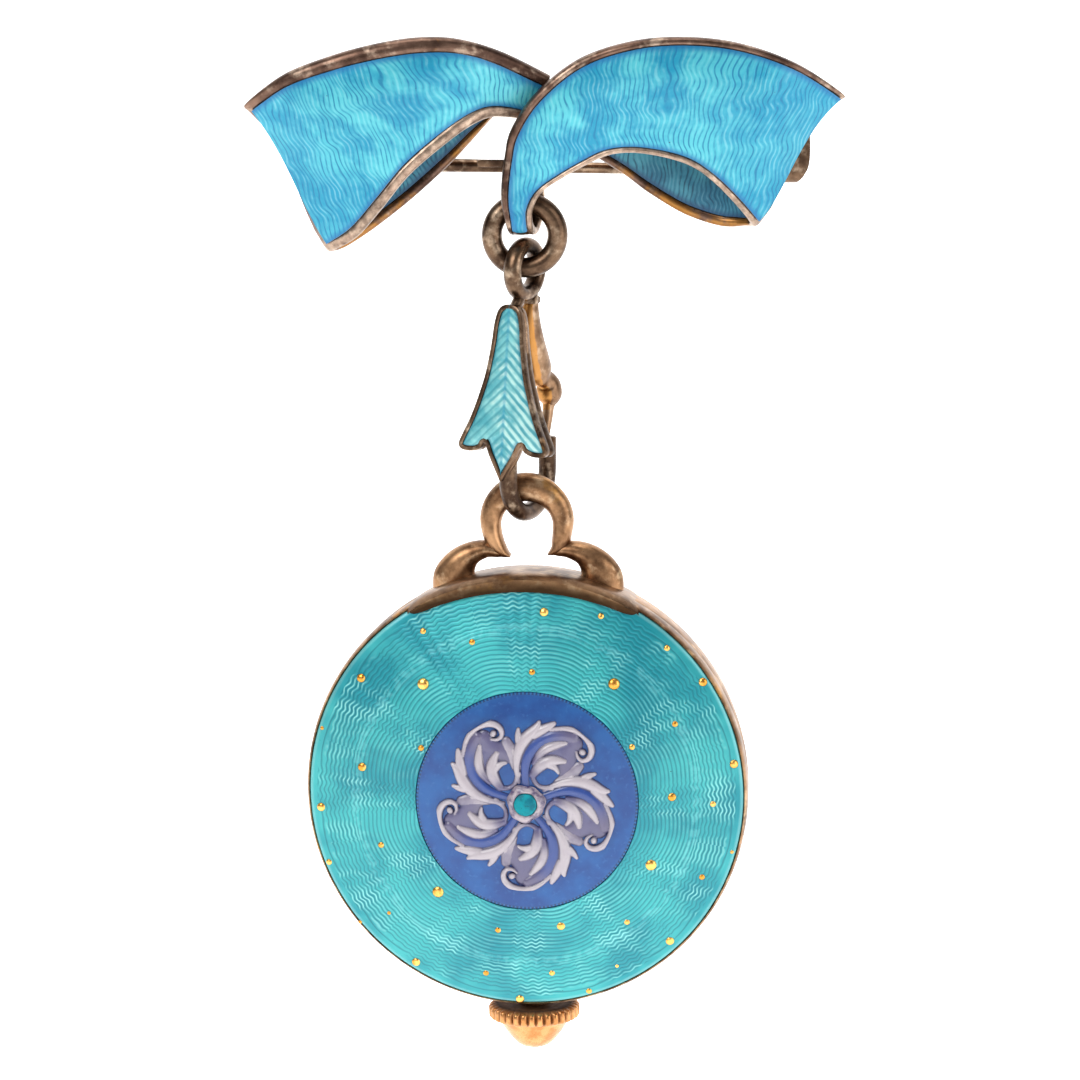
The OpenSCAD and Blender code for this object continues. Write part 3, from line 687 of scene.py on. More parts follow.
# %% Body of the snap hook
CLASP_AT = np.array([-0.12, -4.5, -5.81])
CLASP_TURN = turn(-30, "z")
LEAF_AT, LEAF_TURN = np.array([0, -1.9, -2]), turn(-6, "x")
# Columns: half width, depth under the top, depth on the midrib
LEAF = np.array([
    [0.02, 0.02, 0], [0.24, 0.03, 0.06], [0.46, 0.1, 0.14], [0.65, 0.24, 0.28], [0.84, 0.55, 0.5],
    [1.02, 1.3, 1.0], [1.12, 2.3, 1.8], [1.27, 3.3, 2.6], [1.48, 4.4, 3.4], [1.77, 5.4, 4.1],
    [2.1, 6.4, 4.8], [2.46, 7.3, 5.4], [2.85, 8.1, 5.9], [3.1, 8.7, 6.3], [3.0, 9.05, 6.7],
    [2.6, 9.18, 7.1], [2.0, 9.15, 7.45], [1.55, 8.95, 7.75], [1.28, 8.6, 8.1], [0.88, 9.4, 9.0],
    [0.4, 10.25, 10.05], [0.06, 10.85, 10.8]])
# Depth of the plate's back, width of its rim and depth of its floor
LEAF_THICK, LEAF_RIM, LEAF_FLOOR = 0.8, 0.28, 0.36
# Radius of the hook's wire, and radius and middle of its bend
WIRE, BEND, BEND_Y, BEND_Z = 0.55, 2.4, 0.38, -12.85


def in_clasp(points):
    """Points of the hook's own frame in the shared frame."""
    return points @ CLASP_TURN.T + CLASP_AT


def in_leaf(points):
    """Points of the plate: across, behind the front, up from its top."""
    return in_clasp(points @ LEAF_TURN.T + LEAF_AT)


def leaf_edge(u, inset):
    """Outline drawn in by inset along its normal, and the midrib's depth."""
    r, d = rows_at(LEAF, u), rows_at(LEAF, u + 0.05) - rows_at(LEAF, u - 0.05)
    normal = unit(np.stack([d[:, 1], d[:, 0]], -1) + 1e-9)
    x = np.maximum(r[:, 0] - inset * normal[:, 0], 0.01)
    return x, -r[:, 1] - inset * normal[:, 1], -r[:, 2]


def both_sides(half):
    """Right half of a section and its mirror image, as one closed loop."""
    return np.concatenate([half, (half * [-1, 1, 1])[:, ::-1]], 1)


def capped(grid):
    """Grid whose first and last rows are drawn together to their middles."""
    ends = [np.repeat(grid[i].mean(0)[None, None], grid.shape[1], 1) for i in (0, -1)]
    return np.concatenate([ends[0], grid, ends[1]])


def leaf_plate():
    """Sections from the recessed floor over the rim and its edge to the back. The casting is half as
    deep again at the side lobes."""
    u = np.linspace(0, len(LEAF) - 1, 190)
    spots = [(LEAF_RIM, LEAF_FLOOR), (LEAF_RIM, 0.05), (LEAF_RIM - 0.05, 0), (0.07, 0), (0.02, 0.03),
             (0, 0.1), (0, 0.3), (0.05, 0.36), (0.05, 0.42), (0, 0.48), (0, 0.7), (0.03, 0.77),
             (0.1, LEAF_THICK)]
    cols = []
    for inset, y in spots:
        x, z, mid = leaf_edge(u, inset)
        lobes = np.interp(-mid, [0.5, 5.4, 6.6, 8.4], [1, 1.5, 1.5, 1])
        deeper = lobes if inset < LEAF_RIM / 2 else 1 + 0 * mid
        cols.append(np.stack([x, y * deeper, z], -1))
    rib = [np.stack([0 * mid, y, mid], -1) for y in (LEAF_FLOOR + 0 * mid, LEAF_THICK * deeper)]
    return capped(both_sides(np.stack([rib[0]] + cols + [rib[1]], 1)))


def hook_wire():
    """Round wire down the back of the plate, round the bend and up to the tip, whose last part is
    cut flat in front for the lever."""
    a = np.linspace(np.pi, 2 * np.pi, 49)
    z = np.linspace(-11.0, BEND_Z, 8)[:-1]
    up = np.array([-12.5, -12.1, -11.75, -11.72, -11.5, -11.2, -10.98, -10.92, -10.9])
    path = np.concatenate([
        np.stack([0 * z, 0 * z + BEND_Y - BEND, z], -1),
        np.stack([0 * a, BEND_Y + BEND * np.cos(a), BEND_Z + BEND * np.sin(a)], -1),
        np.stack([0 * up, 0 * up + BEND_Y + BEND, up], -1)])
    radius = np.full(len(path), WIRE)
    radius[-2:] = 0.5, 0.38
    wire = tube(path, radius, [1, 0, 0])
    flat = (wire[..., 2] > -11.74) & (wire[..., 1] > 1.5)
    wire[..., 1] = np.where(flat, np.maximum(wire[..., 1], 2.76), wire[..., 1])
    return wire


ring = np.linspace(0, 2 * np.pi, 97)
eye = np.stack([0 * ring, 1.5 * np.cos(ring), 1.5 * np.sin(ring) - 0.1], -1)
parts = [tube(eye, 0.47, [1, 0, 0], 32, True, depth=0.57), hook_wire(),
         pillow([-0.52, 0.4, -2.3], [0.52, 0.8, -1.5]),
         tube(smooth_path([[0, -0.2, -1.35], [0, -0.7, -1.85], [0, -1.4, -2.55]]), 0.36, [1, 0, 0])]
for s in (-1, 1):
    cheek = lathe([[0, 0.05], [0.14, 0.05], [0.2, 0.03], [0.22, 0], [0.22, -0.06], [0, -0.06]], 40)
    parts += [cheek[..., [1, 0, 2]] * [-s, 1, 1] + [s * 0.34, 1.1, -2.1],
              pillow([s * 0.34 - 0.06, 0.4, -2.3], [s * 0.34 + 0.06, 1.1, -1.9])]
make_piece("hook_body", [in_clasp(p) for p in parts] + [in_leaf(leaf_plate())], "clasp", silver,
           "silver_gilt", replaces=["clasp_frame"])

# %% Leaf enamel with its herringbone veins
def herringbone_enamel():
    """Ridges that run down and out from the midrib: waves of depth minus the distance from it."""
    f = Finish("leaf_enamel")
    x, t = f.pattern()
    side = x.abs()
    drift = f.noise(f.at(x, t), 1.2, 2) - 0.5
    wave = ((t - side * 0.95 + drift * 0.25) * (2 * math.pi / 0.58)).sin() * 0.5 + 0.5
    # Painted glints: pale highlights on the crests of the veins, in patches and stronger toward one
    # side.
    painted_glint = (f.noise(f.at(x, t, 4.0), 0.9, 2) + x * 0.16 + t * 0.012).step(0.45, 0.75)
    cloud = f.noise(f.at(x, t), 1.6, 3).step(0.35, 0.65)
    colour = f.mix(cloud, rgb(66, 148, 158), rgb(118, 182, 182))
    colour = f.mix((1 - wave).step(0.6, 1.0) * 0.5, colour, rgb(40, 116, 130))
    colour = f.mix(wave.step(0.3, 0.8) * painted_glint * 0.6, colour, rgb(190, 218, 210))
    colour = f.mix(side.step(0.16, 0.03) * 0.5, colour, rgb(30, 128, 156))
    near = f.mark("edge").step(0.26, 0.02)
    colour = f.mix(near * 0.6, colour, rgb(34, 118, 142))
    return f.done(Base_Color=colour, Metallic=0.2, Roughness=0.32 + 0.1 * drift,
                  Normal=f.bump(wave * (1 - near), 0.025, 0.5), Coat_Weight=0.3, Coat_Roughness=0.1)


def leaf_glass():
    """Crowned sheet between the rims, with across and depth as pattern coordinates."""
    u = np.linspace(0.5, len(LEAF) - 1.2, 150)
    x, z, mid = leaf_edge(u, LEAF_RIM + 0.03)
    k = np.sin(np.linspace(-np.pi / 2, np.pi / 2, 23))[None]
    across = k * x[:, None]
    up = mid[:, None] + np.abs(k) * (z - mid)[:, None]
    front = np.stack([across, 0.02 + 0.1 * k**4 + 0 * across, up], -1)
    back = np.stack([across, 0 * across + LEAF_FLOOR - 0.02, up], -1)
    pattern = np.stack([across, -up], -1)
    edge = (1 - np.abs(k)) * np.hypot(x, z - mid)[:, None]
    return closed_sheet(front, back), closed_sheet(pattern, pattern), closed_sheet(edge, edge)


shell, pattern, edge = leaf_glass()
make_piece("leaf_glass", [in_leaf(shell)], "clasp", herringbone_enamel(), "leaf_enamel",
           uvs=[pattern], marks={"edge": [edge]}, replaces=["leaf_enamel"])

# %% [markdown]
# The lever swells toward a ball, and a thin finger below it holds the hook's tip shut. Its left side
# lies in the shelter of the plate, so it kept its gilding. A mark on the points says where that is.
# A second mark paints shade on the strip of it right beside the plate.

# %% Lever
# Rows of the turned shape: y, z, half depth, half width
TURNED = [
    [1.2, -1.75, 0.05, 0.05], [1.15, -1.82, 0.26, 0.22], [1.05, -2.1, 0.42, 0.3],
    [0.95, -2.8, 0.58, 0.36], [1.05, -3.8, 0.74, 0.42], [1.35, -5.0, 0.9, 0.5],
    [1.75, -6.1, 1.02, 0.57], [1.98, -6.7, 1.03, 0.58], [2.12, -6.95, 0.86, 0.52],
    [2.28, -7.08, 0.7, 0.47], [2.5, -7.22, 0.6, 0.5], [2.74, -7.42, 0.64, 0.62],
    [2.92, -7.7, 0.75, 0.74], [3.0, -8.1, 0.8, 0.8], [3.0, -8.45, 0.75, 0.75],
    [2.98, -8.75, 0.58, 0.58], [2.95, -8.92, 0.42, 0.42], [2.9, -9.1, 0.36, 0.36],
    [2.78, -9.7, 0.33, 0.33], [2.58, -10.5, 0.29, 0.29], [2.42, -11.2, 0.24, 0.24],
    [2.4, -11.3, 0.18, 0.18], [2.39, -11.34, 0.05, 0.05]]
PIVOT = np.array([0, 1.1, -2.1])


def lever_grid():
    """Tube of oval section from the pivot through the ball to the finger's end: a swelling arm, a
    groove, a ball and a taper. The arm is 0.4 mm wider on its left side alone."""
    y, z, depth, width = smooth_path(TURNED, 5).T
    wider = 0.2 * np.interp(z, [-7.3, -6.8, -2.8, -1.8], [0, 1, 1, 0])
    grid = tube(np.stack([0 * y, y, z], -1), depth, [1, 0, 0], 40, depth=width + wider)
    grid[..., 0] -= np.concatenate([wider[:1], wider, wider[-1:]])[:, None]
    return grid


lever = lever_grid()
middle = lever.mean(1, keepdims=True)
sheltered = (middle - lever) @ np.array([0.8, 0.6, 0])
sheltered = sheltered / np.maximum(np.abs(sheltered).max(1, keepdims=True), 0.1)
hidden = (middle[..., 2] < -2.2) * (middle[..., 2] > -9.2)
golden = 5 * np.clip((sheltered + 0.3) / 0.6, 0, 1) * hidden
# Painted shade: the strip of the arm right beside the plate is darkened through the darkening mark.
shadow = 0.9 * np.clip((sheltered - 0.8) / 0.15, 0, 1) * hidden * (middle[..., 2] > -7.0)
knuckle = lathe([[0, 0.26], [0.18, 0.26], [0.22, 0.2], [0.22, -0.2], [0.18, -0.26], [0, -0.26]], 40)
knuckle = knuckle[..., [1, 0, 2]] * [-1, 1, 1] + PIVOT
plain = 0 * knuckle[..., 0]
make_piece("lever", [in_clasp(lever), in_clasp(knuckle)], "gate", lever_metal, "silver_gilt",
           marks={"golden": [golden, plain], "shade_and_grime": [shadow, plain]}, replaces=["gate_lever"])

# %% [markdown]
# ## The watch case
# The case is round, so most of it is a profile turned about the middle. Its back is a shallow dome.
# On top sits a cast bow: an open ring whose ends spread into two curled feet, which stand on a
# saddle that clasps the rim. Both are tubes with an oval section of changing width.

# %% Frame of the watch, dome and rim
WATCH_AT = np.array([0.2, -4.5, -38.2])
WATCH_TURN = turn(-6, "z") @ turn(-1, "y")
# Height of the back's top, radius of its dome, and radii of the blue disc and of the whole enamel
BACK_H, DOME_R, DISC_R, BAND_R = 4.3, 49.7, 6.9, 13.46


def in_watch(points):
    """Points of the watch's own frame in the shared frame."""
    return points @ WATCH_TURN.T + WATCH_AT


def watch_piece(name, grids, finish, slot, body="watch", **more):
    """A piece whose grids are given in the watch's own frame."""
    make_piece(name, [in_watch(g) for g in grids], body, finish, slot, **more)


def dome(r, sunk=0.0):
    """Height of the back at distance r from the middle, sunk below the enamel's face."""
    return BACK_H - DOME_R + np.sqrt((DOME_R - sunk) ** 2 - np.minimum(r, 20) ** 2)


def dome_run(r0, r1, sunk, n=28):
    """Profile points of the dome from r0 to r1."""
    r = np.linspace(r0, r1, n)
    return np.stack([r, dome(r, sunk)], -1)


def flat_pattern(grid):
    """Pattern coordinates seen square on to the back: across and up."""
    return grid[..., [0, 2]]


case_profile = np.concatenate([
    dome_run(0, 13.44, 0.38, 20),
    [[13.48, 2.2], [13.5, 2.36], [13.54, 2.4], [13.6, 2.34], [13.67, 2.1], [13.7, 1.8], [13.7, 1.2],
     [13.66, 1.12], [13.69, 1.04], [13.6, -0.5], [13.45, -1.6], [13.36, -1.95], [13.2, -2.1],
     [13.1, -2.1], [13.1, 1.7]], dome_run(12.9, 0, 0.88, 10)])


def saddle_grid():
    """Loop of points over the rim, for angles of 34 degrees either side of the top. Its inner lip
    follows the enamel's dome and runs out to the rim at the ends."""
    a = np.linspace(-34, 34, 97)
    end = np.clip((np.abs(a) - 27) / 7, 0, 1)
    lip = 12.7 + 0.3 * (a / 30) ** 2 + 0.55 * end**2
    full = 1 - end**2
    r = [lip, lip + 0.02 * full, lip + 0.2 * full, lip + 0.45 * full, 13.5 + 0 * a,
         13.66 + 0.06 * full, 13.72 + 0.06 * full, 13.64 + 0.06 * full, 13.46 + 0.06 * full,
         13.4 + 0 * a, 13.3 + 0 * a]
    h = [dome(lip) + 0.03, dome(lip) + 0.16 * full + 0.03, dome(r[2]) + 0.32 * full + 0.02,
         dome(r[3]) + 0.42 * full, 2.2 + 0.75 * full, 2.1 + 0.5 * full, 1.9 + 0 * a, 0 * a,
         -1.6 + 0 * a, -1.8 + 0 * a, 0 * a]
    r, h = np.stack(r + r[:1], 1) - 0.3 * end[:, None] ** 2, np.stack(h + h[:1], 1)
    h[:, [0, 1, 2, 3, -1]] -= 0.4 * end[:, None] ** 2
    turned = np.radians(90 - a)[:, None]
    return capped(np.stack([r * np.cos(turned), -h, r * np.sin(turned)], -1))


# Rows of the cast bow: x, z, half width in its plane, half depth. The ring runs from its top to
# the point beside its opening, and the foot from that point to the saddle.
RING_ROWS = np.array([
    [0, 18.75, 0.9, 0.74], [1.0, 18.5, 0.86, 0.7], [1.85, 17.75, 0.76, 0.68],
    [2.22, 16.85, 0.69, 0.7], [2.18, 15.95, 0.62, 0.78], [1.94, 15.2, 0.56, 0.74],
    [1.55, 14.72, 0.4, 0.66], [1.05, 14.42, 0.07, 0.45]])
FOOT_ROWS = np.array([
    [1.1, 14.42, 0.06, 0.4], [1.75, 14.68, 0.36, 0.62], [2.6, 14.84, 0.55, 0.72],
    [3.5, 14.56, 0.74, 0.8], [4.16, 13.95, 1.04, 0.85], [4.5, 13.15, 1.36, 0.88],
    [4.52, 12.3, 1.42, 0.88]])


def cast_limb(rows):
    """Tube of oval section in the bow's plane."""
    r = smooth_path(rows)
    return tube(np.stack([r[:, 0], 0 * r[:, 0], r[:, 1]], -1), r[:, 2], [0, 1, 0], 32, depth=r[:, 3])


# The right end of the ring and the right foot are cast a little higher and further out
mirror = np.array([-1, 1, 1, 1])
uneven = np.clip(15.6 - RING_ROWS[:, 1:2], 0, 1) * [0.25, 0.14, 0, 0]
right_foot = FOOT_ROWS + np.clip(2.6 - FOOT_ROWS[:, :1], 0, 1.5) * [0.17, 0.1, 0, 0]
whole_ring = np.concatenate([(RING_ROWS * mirror)[:0:-1], RING_ROWS + uneven])
limbs = [cast_limb(rows) + [0.1, 0, 0] for rows in (whole_ring, right_foot, FOOT_ROWS * mirror)]

pipe = lathe([[0, 0.62], [0.8, 0.62], [0.93, 0.5], [0.95, 0.3], [0.95, -0.6], [0, -0.6]], 48)
pipe = pipe[..., [0, 2, 1]] + [0, 0, -13.63]
case_parts = [lathe(case_profile), saddle_grid(), pipe, *limbs]
shade_and_grime = [0 * g[..., 0] for g in case_parts]
# The case is darkened a little all over, and the saddle most at its lips, one number for each column
shade_and_grime[0] += 0.1
shade_and_grime[1] += np.array([1.4, 1.4, 1.3, 1.15, 0.8, 0.5, 0.4, 0.4, 0.4, 0.5, 1, 1.4])
watch_piece("case_and_bow", case_parts, case_metal, "silver_gilt", marks={"shade_and_grime": shade_and_grime},
            replaces=["watch_case"])
bezel = lathe([[12.95, -2.14], [13.1, -2.14], [13.22, -2.35], [13.12, -2.8], [12.9, -3.2],
               [12.6, -3.48], [12.4, -3.5], [12.2, -3.4], [12.2, -2.9], [12.75, -2.8], [12.95, -2.6],
               [12.95, -2.14]])
watch_piece("glass_rim", [bezel], case_metal, "silver_gilt", replaces=["bezel"])

# %% [markdown]
# ## Engine turning under the enamel
# A lathe cut fine rings into the silver back before it was enamelled. Every 30 degrees the rings
# break into short waves, and between these bands they arch outward. The shader takes the distance
# from the middle, shifts it by the waves and arches, and cuts a line about every quarter millimetre.

# %% Turquoise enamel of the back
# Distance of the rings in millimetres, and of the short waves in shares of a 30 degree sector
RING_PITCH, WAVE_PITCH = 0.262, 0.118


def turned_enamel():
    """Phase of a cut is (r + waves - arches) / RING_PITCH, with both shifts read from the angle."""
    f = Finish("turquoise_enamel")
    x, z, r, share = f.polar()
    sector = (share * 12 + 12.5).fract() - 0.5
    away = sector.abs()
    drift = f.noise(f.at(x, z), 2.2, 2) - 0.5
    outer = r.step(10.6, 11.0) * r.step(12.9, 12.6)
    ragged = f.noise(f.at(x, z, 7.0), 0.9, 2) - 0.5
    band = away.step(0.24, 0.17).most(outer * 0.45)
    waves = band * 0.062 * (sector * (2 * math.pi / WAVE_PITCH) + drift * 2 + ragged * 2.2).sin()
    arch = ((0.5 - away) / 0.3).least(1.0)
    arches = (1 - arch * arch) * 0.16 * (1 - outer)
    bent = r + waves - arches + drift * 0.14 + ragged * 0.05
    cut = (bent * (2 * math.pi / RING_PITCH)).sin() * 0.5 + 0.5
    plain = r.step(12.9, 13.1)
    cut = cut * (1 - plain) + 0.5 * plain
    cloud = f.noise(f.at(x, z, 5.0), 5.0, 3).step(0.36, 0.64)
    gleam = f.noise(f.at(x * 0.5, z, 8.0), 1.4, 3)
    colour = f.mix(cloud, rgb(2, 124, 136), rgb(50, 158, 160))
    shade = (1 - cut).step(0.45, 1.0) * (0.25 + gleam * 0.6).least(1.0)
    colour = f.mix(shade, colour, rgb(0, 84, 100))
    glint = cut.step(0.6, 1.0) * gleam.step(0.46, 0.64) * (0.3 + 0.7 * band) * 0.7
    colour = f.mix(glint, colour, rgb(136, 204, 200))
    troubled = r.step(10.2, 10.4) * r.step(11.0, 10.8)
    colour = f.mix(troubled * f.noise(f.at(x, z, 2.0), 0.5, 2).step(0.4, 0.6) * 0.16, colour,
                   rgb(130, 210, 212))
    # Painted reflection: a pale line along the outer edge of the enamel.
    rim = r.step(13.2, 13.36)
    colour = f.mix(rim * 0.35, colour, rgb(130, 190, 190))
    specks = f.noise(f.at(x, z, 11.0), 0.24, 1)
    colour = f.mix(specks.step(0.79, 0.82) * 0.8, colour, rgb(20, 70, 80))
    return f.done(Base_Color=colour, Metallic=0.4, Roughness=0.34 + 0.14 * gleam,
                  Normal=f.bump(cut, 0.03, 0.65), Coat_Weight=0.24, Coat_Roughness=0.06)


def turned_shell(r0, r1):
    """Dome between two radii, 0.34 thick. Where it has a hole, its first point closes it."""
    edge = [[r1 - 0.02, dome(r1) - 0.03], [r1, dome(r1) - 0.1]]
    front, back = dome_run(r0, r1 - 0.06, 0), dome_run(r1 - 0.01, r0, 0.34)
    return lathe(np.concatenate([front, edge, back, front[:int(r0 > 0)]]), 256)


def off_centre(points):
    """Moves the middle of the back a little right and down, less and less toward the rim."""
    share = np.clip((BAND_R - np.hypot(points[..., 0], points[..., 2])) / (BAND_R - DISC_R), 0, 1)
    return points + share[..., None] * np.array([0.2, 0, -0.22])


shell = turned_shell(DISC_R + 0.02, BAND_R)
watch_piece("back_glass", [off_centre(shell)], turned_enamel(), "turquoise_enamel",
            uvs=[flat_pattern(shell)], replaces=["back_enamel"])

# %% Blue disc in the middle
MILLED_R = 6.7


def disc_enamel():
    """Even blue glass over fine rays, with a border of zigzag cuts milled outside MILLED_R."""
    f = Finish("blue_enamel")
    x, z, r, share = f.polar()
    rays = ((share + 1) * 180).fract()
    tooth = (rays - 0.5).abs() * 2
    border = r.step(MILLED_R, MILLED_R + 0.06)
    nick = (tooth - (r - MILLED_R) * 3.0).step(0.0, 0.3) * border
    cloud = f.noise(f.at(x, z), 2.6, 3).step(0.34, 0.66)
    fine = f.noise(f.at(x, z), 0.35, 3)
    colour = f.mix(cloud * 0.8, rgb(0, 54, 118), rgb(12, 80, 142))
    colour = f.mix(fine.step(0.55, 0.75) * 0.3, colour, rgb(50, 104, 160))
    colour = f.mix(border * 0.5, colour, rgb(26, 100, 150))
    colour = f.mix(nick * 0.85, colour, rgb(8, 30, 70))
    return f.done(Base_Color=colour, Metallic=0.25, Roughness=0.32 + 0.12 * fine,
                  Normal=f.bump(fine * 0.6 + nick * 0.4, 0.02, 0.5),
                  Coat_Weight=0.3, Coat_Roughness=0.06)


shell = turned_shell(0, DISC_R)
watch_piece("middle_glass", [off_centre(shell)], disc_enamel(), "blue_enamel",
            uvs=[flat_pattern(shell)], replaces=["medallion_enamel"])

# %% [markdown]
# Small gold studs are fired into the enamel. Their places were read from the photograph. The line of
# sight is met with the dome by going back and forth a few times between depth and place.

# %% Gold studs
# Radius, and pixels of the studs of that size
STUDS = {
    0.36: [(423, 684), (614, 684), (651, 865), (438, 892)],
    0.27: [(561, 926), (672, 797), (362, 767), (361, 678), (544, 612), (703, 682), (734, 764),
           (321, 807), (416, 962), (670, 941), (520, 999)],
    0.19: [(423, 631), (472, 642), (532, 672), (421, 748), (601, 616), (667, 648), (675, 724),
           (632, 747), (713, 804), (381, 845), (329, 862), (498, 930), (627, 922), (702, 877),
           (486, 973), (552, 973), (589, 991)],
    0.12: [(322, 728), (389, 913), (360, 922), (617, 966), (732, 852)]}


def on_back(pixels):
    """Points of the dome, in the watch's frame, that the photograph shows at some pixels."""
    depth = np.full(len(pixels), -8.0)
    for _ in range(6):
        local = (seen_at(pixels, depth) - WATCH_AT) @ WATCH_TURN
        local[:, 1] = -dome(np.hypot(local[:, 0], local[:, 2]))
        depth = in_watch(local)[:, 1]
    return local


def stud(centre, radius, rows=9, cols=17):
    """Flattened ball whose short axis is the dome's normal."""
    n = unit(centre - np.array([0, DOME_R - BACK_H, 0]))
    e = unit(np.cross(n, [0, 0, 1]))
    v = np.linspace(-np.pi / 2, np.pi / 2, rows)[:, None, None]
    u = np.linspace(0, 2 * np.pi, cols)[None, :, None]
    level = np.cos(u) * e + np.sin(u) * np.cross(n, e)
    return centre + radius * (np.cos(v) * level + 0.45 * np.sin(v) * n)


def gold_finish(name, base, light):
    """Bright gold with soft dents. The piece's own mark of painted shade and dirt darkens it."""
    f = Finish(name)
    here = f.place()
    dents = f.noise(here, 0.3 * MM, 3)
    colour = f.mix(f.noise(here, 0.7 * MM, 3).step(0.38, 0.62), base, light)
    shade_and_grime = f.mark("shade_and_grime")
    colour = f.mix(shade_and_grime * 0.95, colour, rgb(34, 22, 14))
    return f.done(Base_Color=colour, Metallic=1 - shade_and_grime * 0.9,
                  Roughness=0.18 + 0.2 * dents + 0.5 * shade_and_grime, Normal=f.bump(dents, 0.03, 0.5))


gold = gold_finish("gold", rgb(204, 140, 56), rgb(238, 184, 100))
studs = [stud(c, size) for size, pixels in STUDS.items() for c in on_back(pixels)]
watch_piece("gold_studs", studs, gold, "gold")

# %% [markdown]
# ## The rosette
# White enamel scrolls are raised over the blue disc, five alike. Each is a few strokes of a brush with
# swelling width. A stroke is a run of discs along a curve. Over a disc the relief is half an
# ellipsoid, and the highest one wins at each point, so the strokes meet in creases.

# %% Scrolls in relief
# Rows of a stroke: x, y, half width, height, whiteness
STROKES = [
    [[-0.42, 1.3, 0.12, 0.2, 0.6], [-0.56, 2.1, 0.22, 0.3, 0.9], [-0.52, 2.9, 0.32, 0.36, 1],
     [-0.25, 3.7, 0.42, 0.4, 1], [0.2, 4.25, 0.42, 0.4, 1], [0.68, 4.7, 0.3, 0.36, 1],
     [0.87, 5.05, 0.15, 0.28, 1]],
    [[-0.3, 3.6, 0.3, 0.32, 1], [-0.44, 4.15, 0.26, 0.3, 1], [-0.42, 4.62, 0.13, 0.24, 1]],
    [[-0.5, 2.7, 0.26, 0.3, 1], [-0.72, 3.3, 0.16, 0.24, 0.9]],
    [[0.5, 4.3, 0.34, 0.34, 1], [1.2, 4.68, 0.34, 0.34, 1], [1.8, 4.98, 0.16, 0.26, 1]],
    [[0.0, 1.1, 0.26, 0.14, 0], [-0.05, 2.1, 0.3, 0.16, 0], [0.12, 2.9, 0.38, 0.2, 0],
     [0.6, 3.6, 0.42, 0.22, 0], [1.3, 4.08, 0.42, 0.24, 0.1], [2.15, 4.25, 0.4, 0.26, 0.25],
     [3.0, 4.1, 0.36, 0.28, 0.4]],
    [[1.6, 4.6, 0.14, 0.22, 0.8], [2.4, 4.7, 0.17, 0.3, 0.9], [3.1, 4.56, 0.2, 0.34, 1],
     [3.66, 4.2, 0.23, 0.37, 1], [4.02, 3.7, 0.25, 0.4, 1], [4.1, 3.2, 0.24, 0.4, 1],
     [3.9, 2.8, 0.21, 0.38, 1], [3.55, 2.66, 0.17, 0.36, 1], [3.24, 2.86, 0.13, 0.34, 0.9],
     [3.16, 3.2, 0.1, 0.32, 0.8]],
    [[3.5, 3.22, 0.22, 0.42, 1], [3.56, 3.2, 0.22, 0.42, 1]],
    [[0.5, 2.5, 0.14, 0.28, 0.3], [1.0, 3.25, 0.32, 0.38, 0.8], [1.72, 3.62, 0.32, 0.36, 1],
     [2.5, 3.78, 0.14, 0.28, 1]],
    [[0.46, 1.8, 0.28, 0.3, 0.3], [0.92, 2.4, 0.42, 0.42, 0.85], [1.6, 2.74, 0.42, 0.42, 1],
     [2.4, 2.64, 0.18, 0.32, 1]],
    [[1.4, 2.5, 0.32, 0.38, 1], [1.85, 2.25, 0.22, 0.34, 1], [2.03, 1.92, 0.11, 0.28, 1]],
    [[0.42, 1.8, 0.2, 0.26, 0.3], [0.55, 1.3, 0.17, 0.24, 0.45], [1.0, 0.97, 0.16, 0.22, 0.7],
     [1.6, 1.0, 0.22, 0.24, 0.85]],
    [[2.0, 1.25, 0.34, 0.18, 0.85], [2.75, 1.75, 0.46, 0.2, 0.75], [3.3, 2.3, 0.34, 0.2, 0.6]],
    [[2.4, 1.75, 0.4, 0.15, 0.42], [2.6, 2.3, 0.6, 0.16, 0.36], [2.5, 3.1, 0.75, 0.17, 0.3],
     [3.0, 3.7, 0.6, 0.18, 0.34]],
    [[1.3, 3.0, 0.5, 0.14, 0.2], [2.0, 3.4, 0.6, 0.15, 0.28], [2.4, 3.0, 0.6, 0.16, 0.3]]]
# Height where there is no stroke, under the disc's face, and the passes that smooth a stroke
BARE, SMOOTHINGS = -0.14, 30


def scroll_relief(x, y):
    """At points x, y of one fifth: relief, how near each is to the middle of its stroke (0 to 1), and
    the stroke's whiteness. A stroke is smoothed by passes of the weights 1, 2, 1."""
    high = np.full(x.shape, BARE)
    crest, white = np.zeros(x.shape), np.zeros(x.shape)
    for table in STROKES:
        run = smooth_path(table, 10)
        for _ in range(SMOOTHINGS):
            run[1:-1] = (run[:-2] + 2 * run[1:-1] + run[2:]) / 4
        for fifth in range(-2, 3):
            a = np.radians(72 * fifth)
            cx = run[:, 0] * math.cos(a) - run[:, 1] * math.sin(a)
            cy = run[:, 0] * math.sin(a) + run[:, 1] * math.cos(a)
            q = 1 - ((x[..., None] - cx) ** 2 + (y[..., None] - cy) ** 2) / run[:, 2] ** 2
            lifts = np.where(q > 0, run[:, 3] * np.sqrt(np.maximum(q, 0)) - 0.06, BARE)
            best = lifts.argmax(-1)
            lift = np.take_along_axis(lifts, best[..., None], -1)[..., 0]
            wins = lift > high
            crest = np.where(wins, np.maximum(q, 0).max(-1), crest)
            white = np.where(wins, run[best, 4], white)
            high = np.maximum(high, lift)
    return high, crest, white


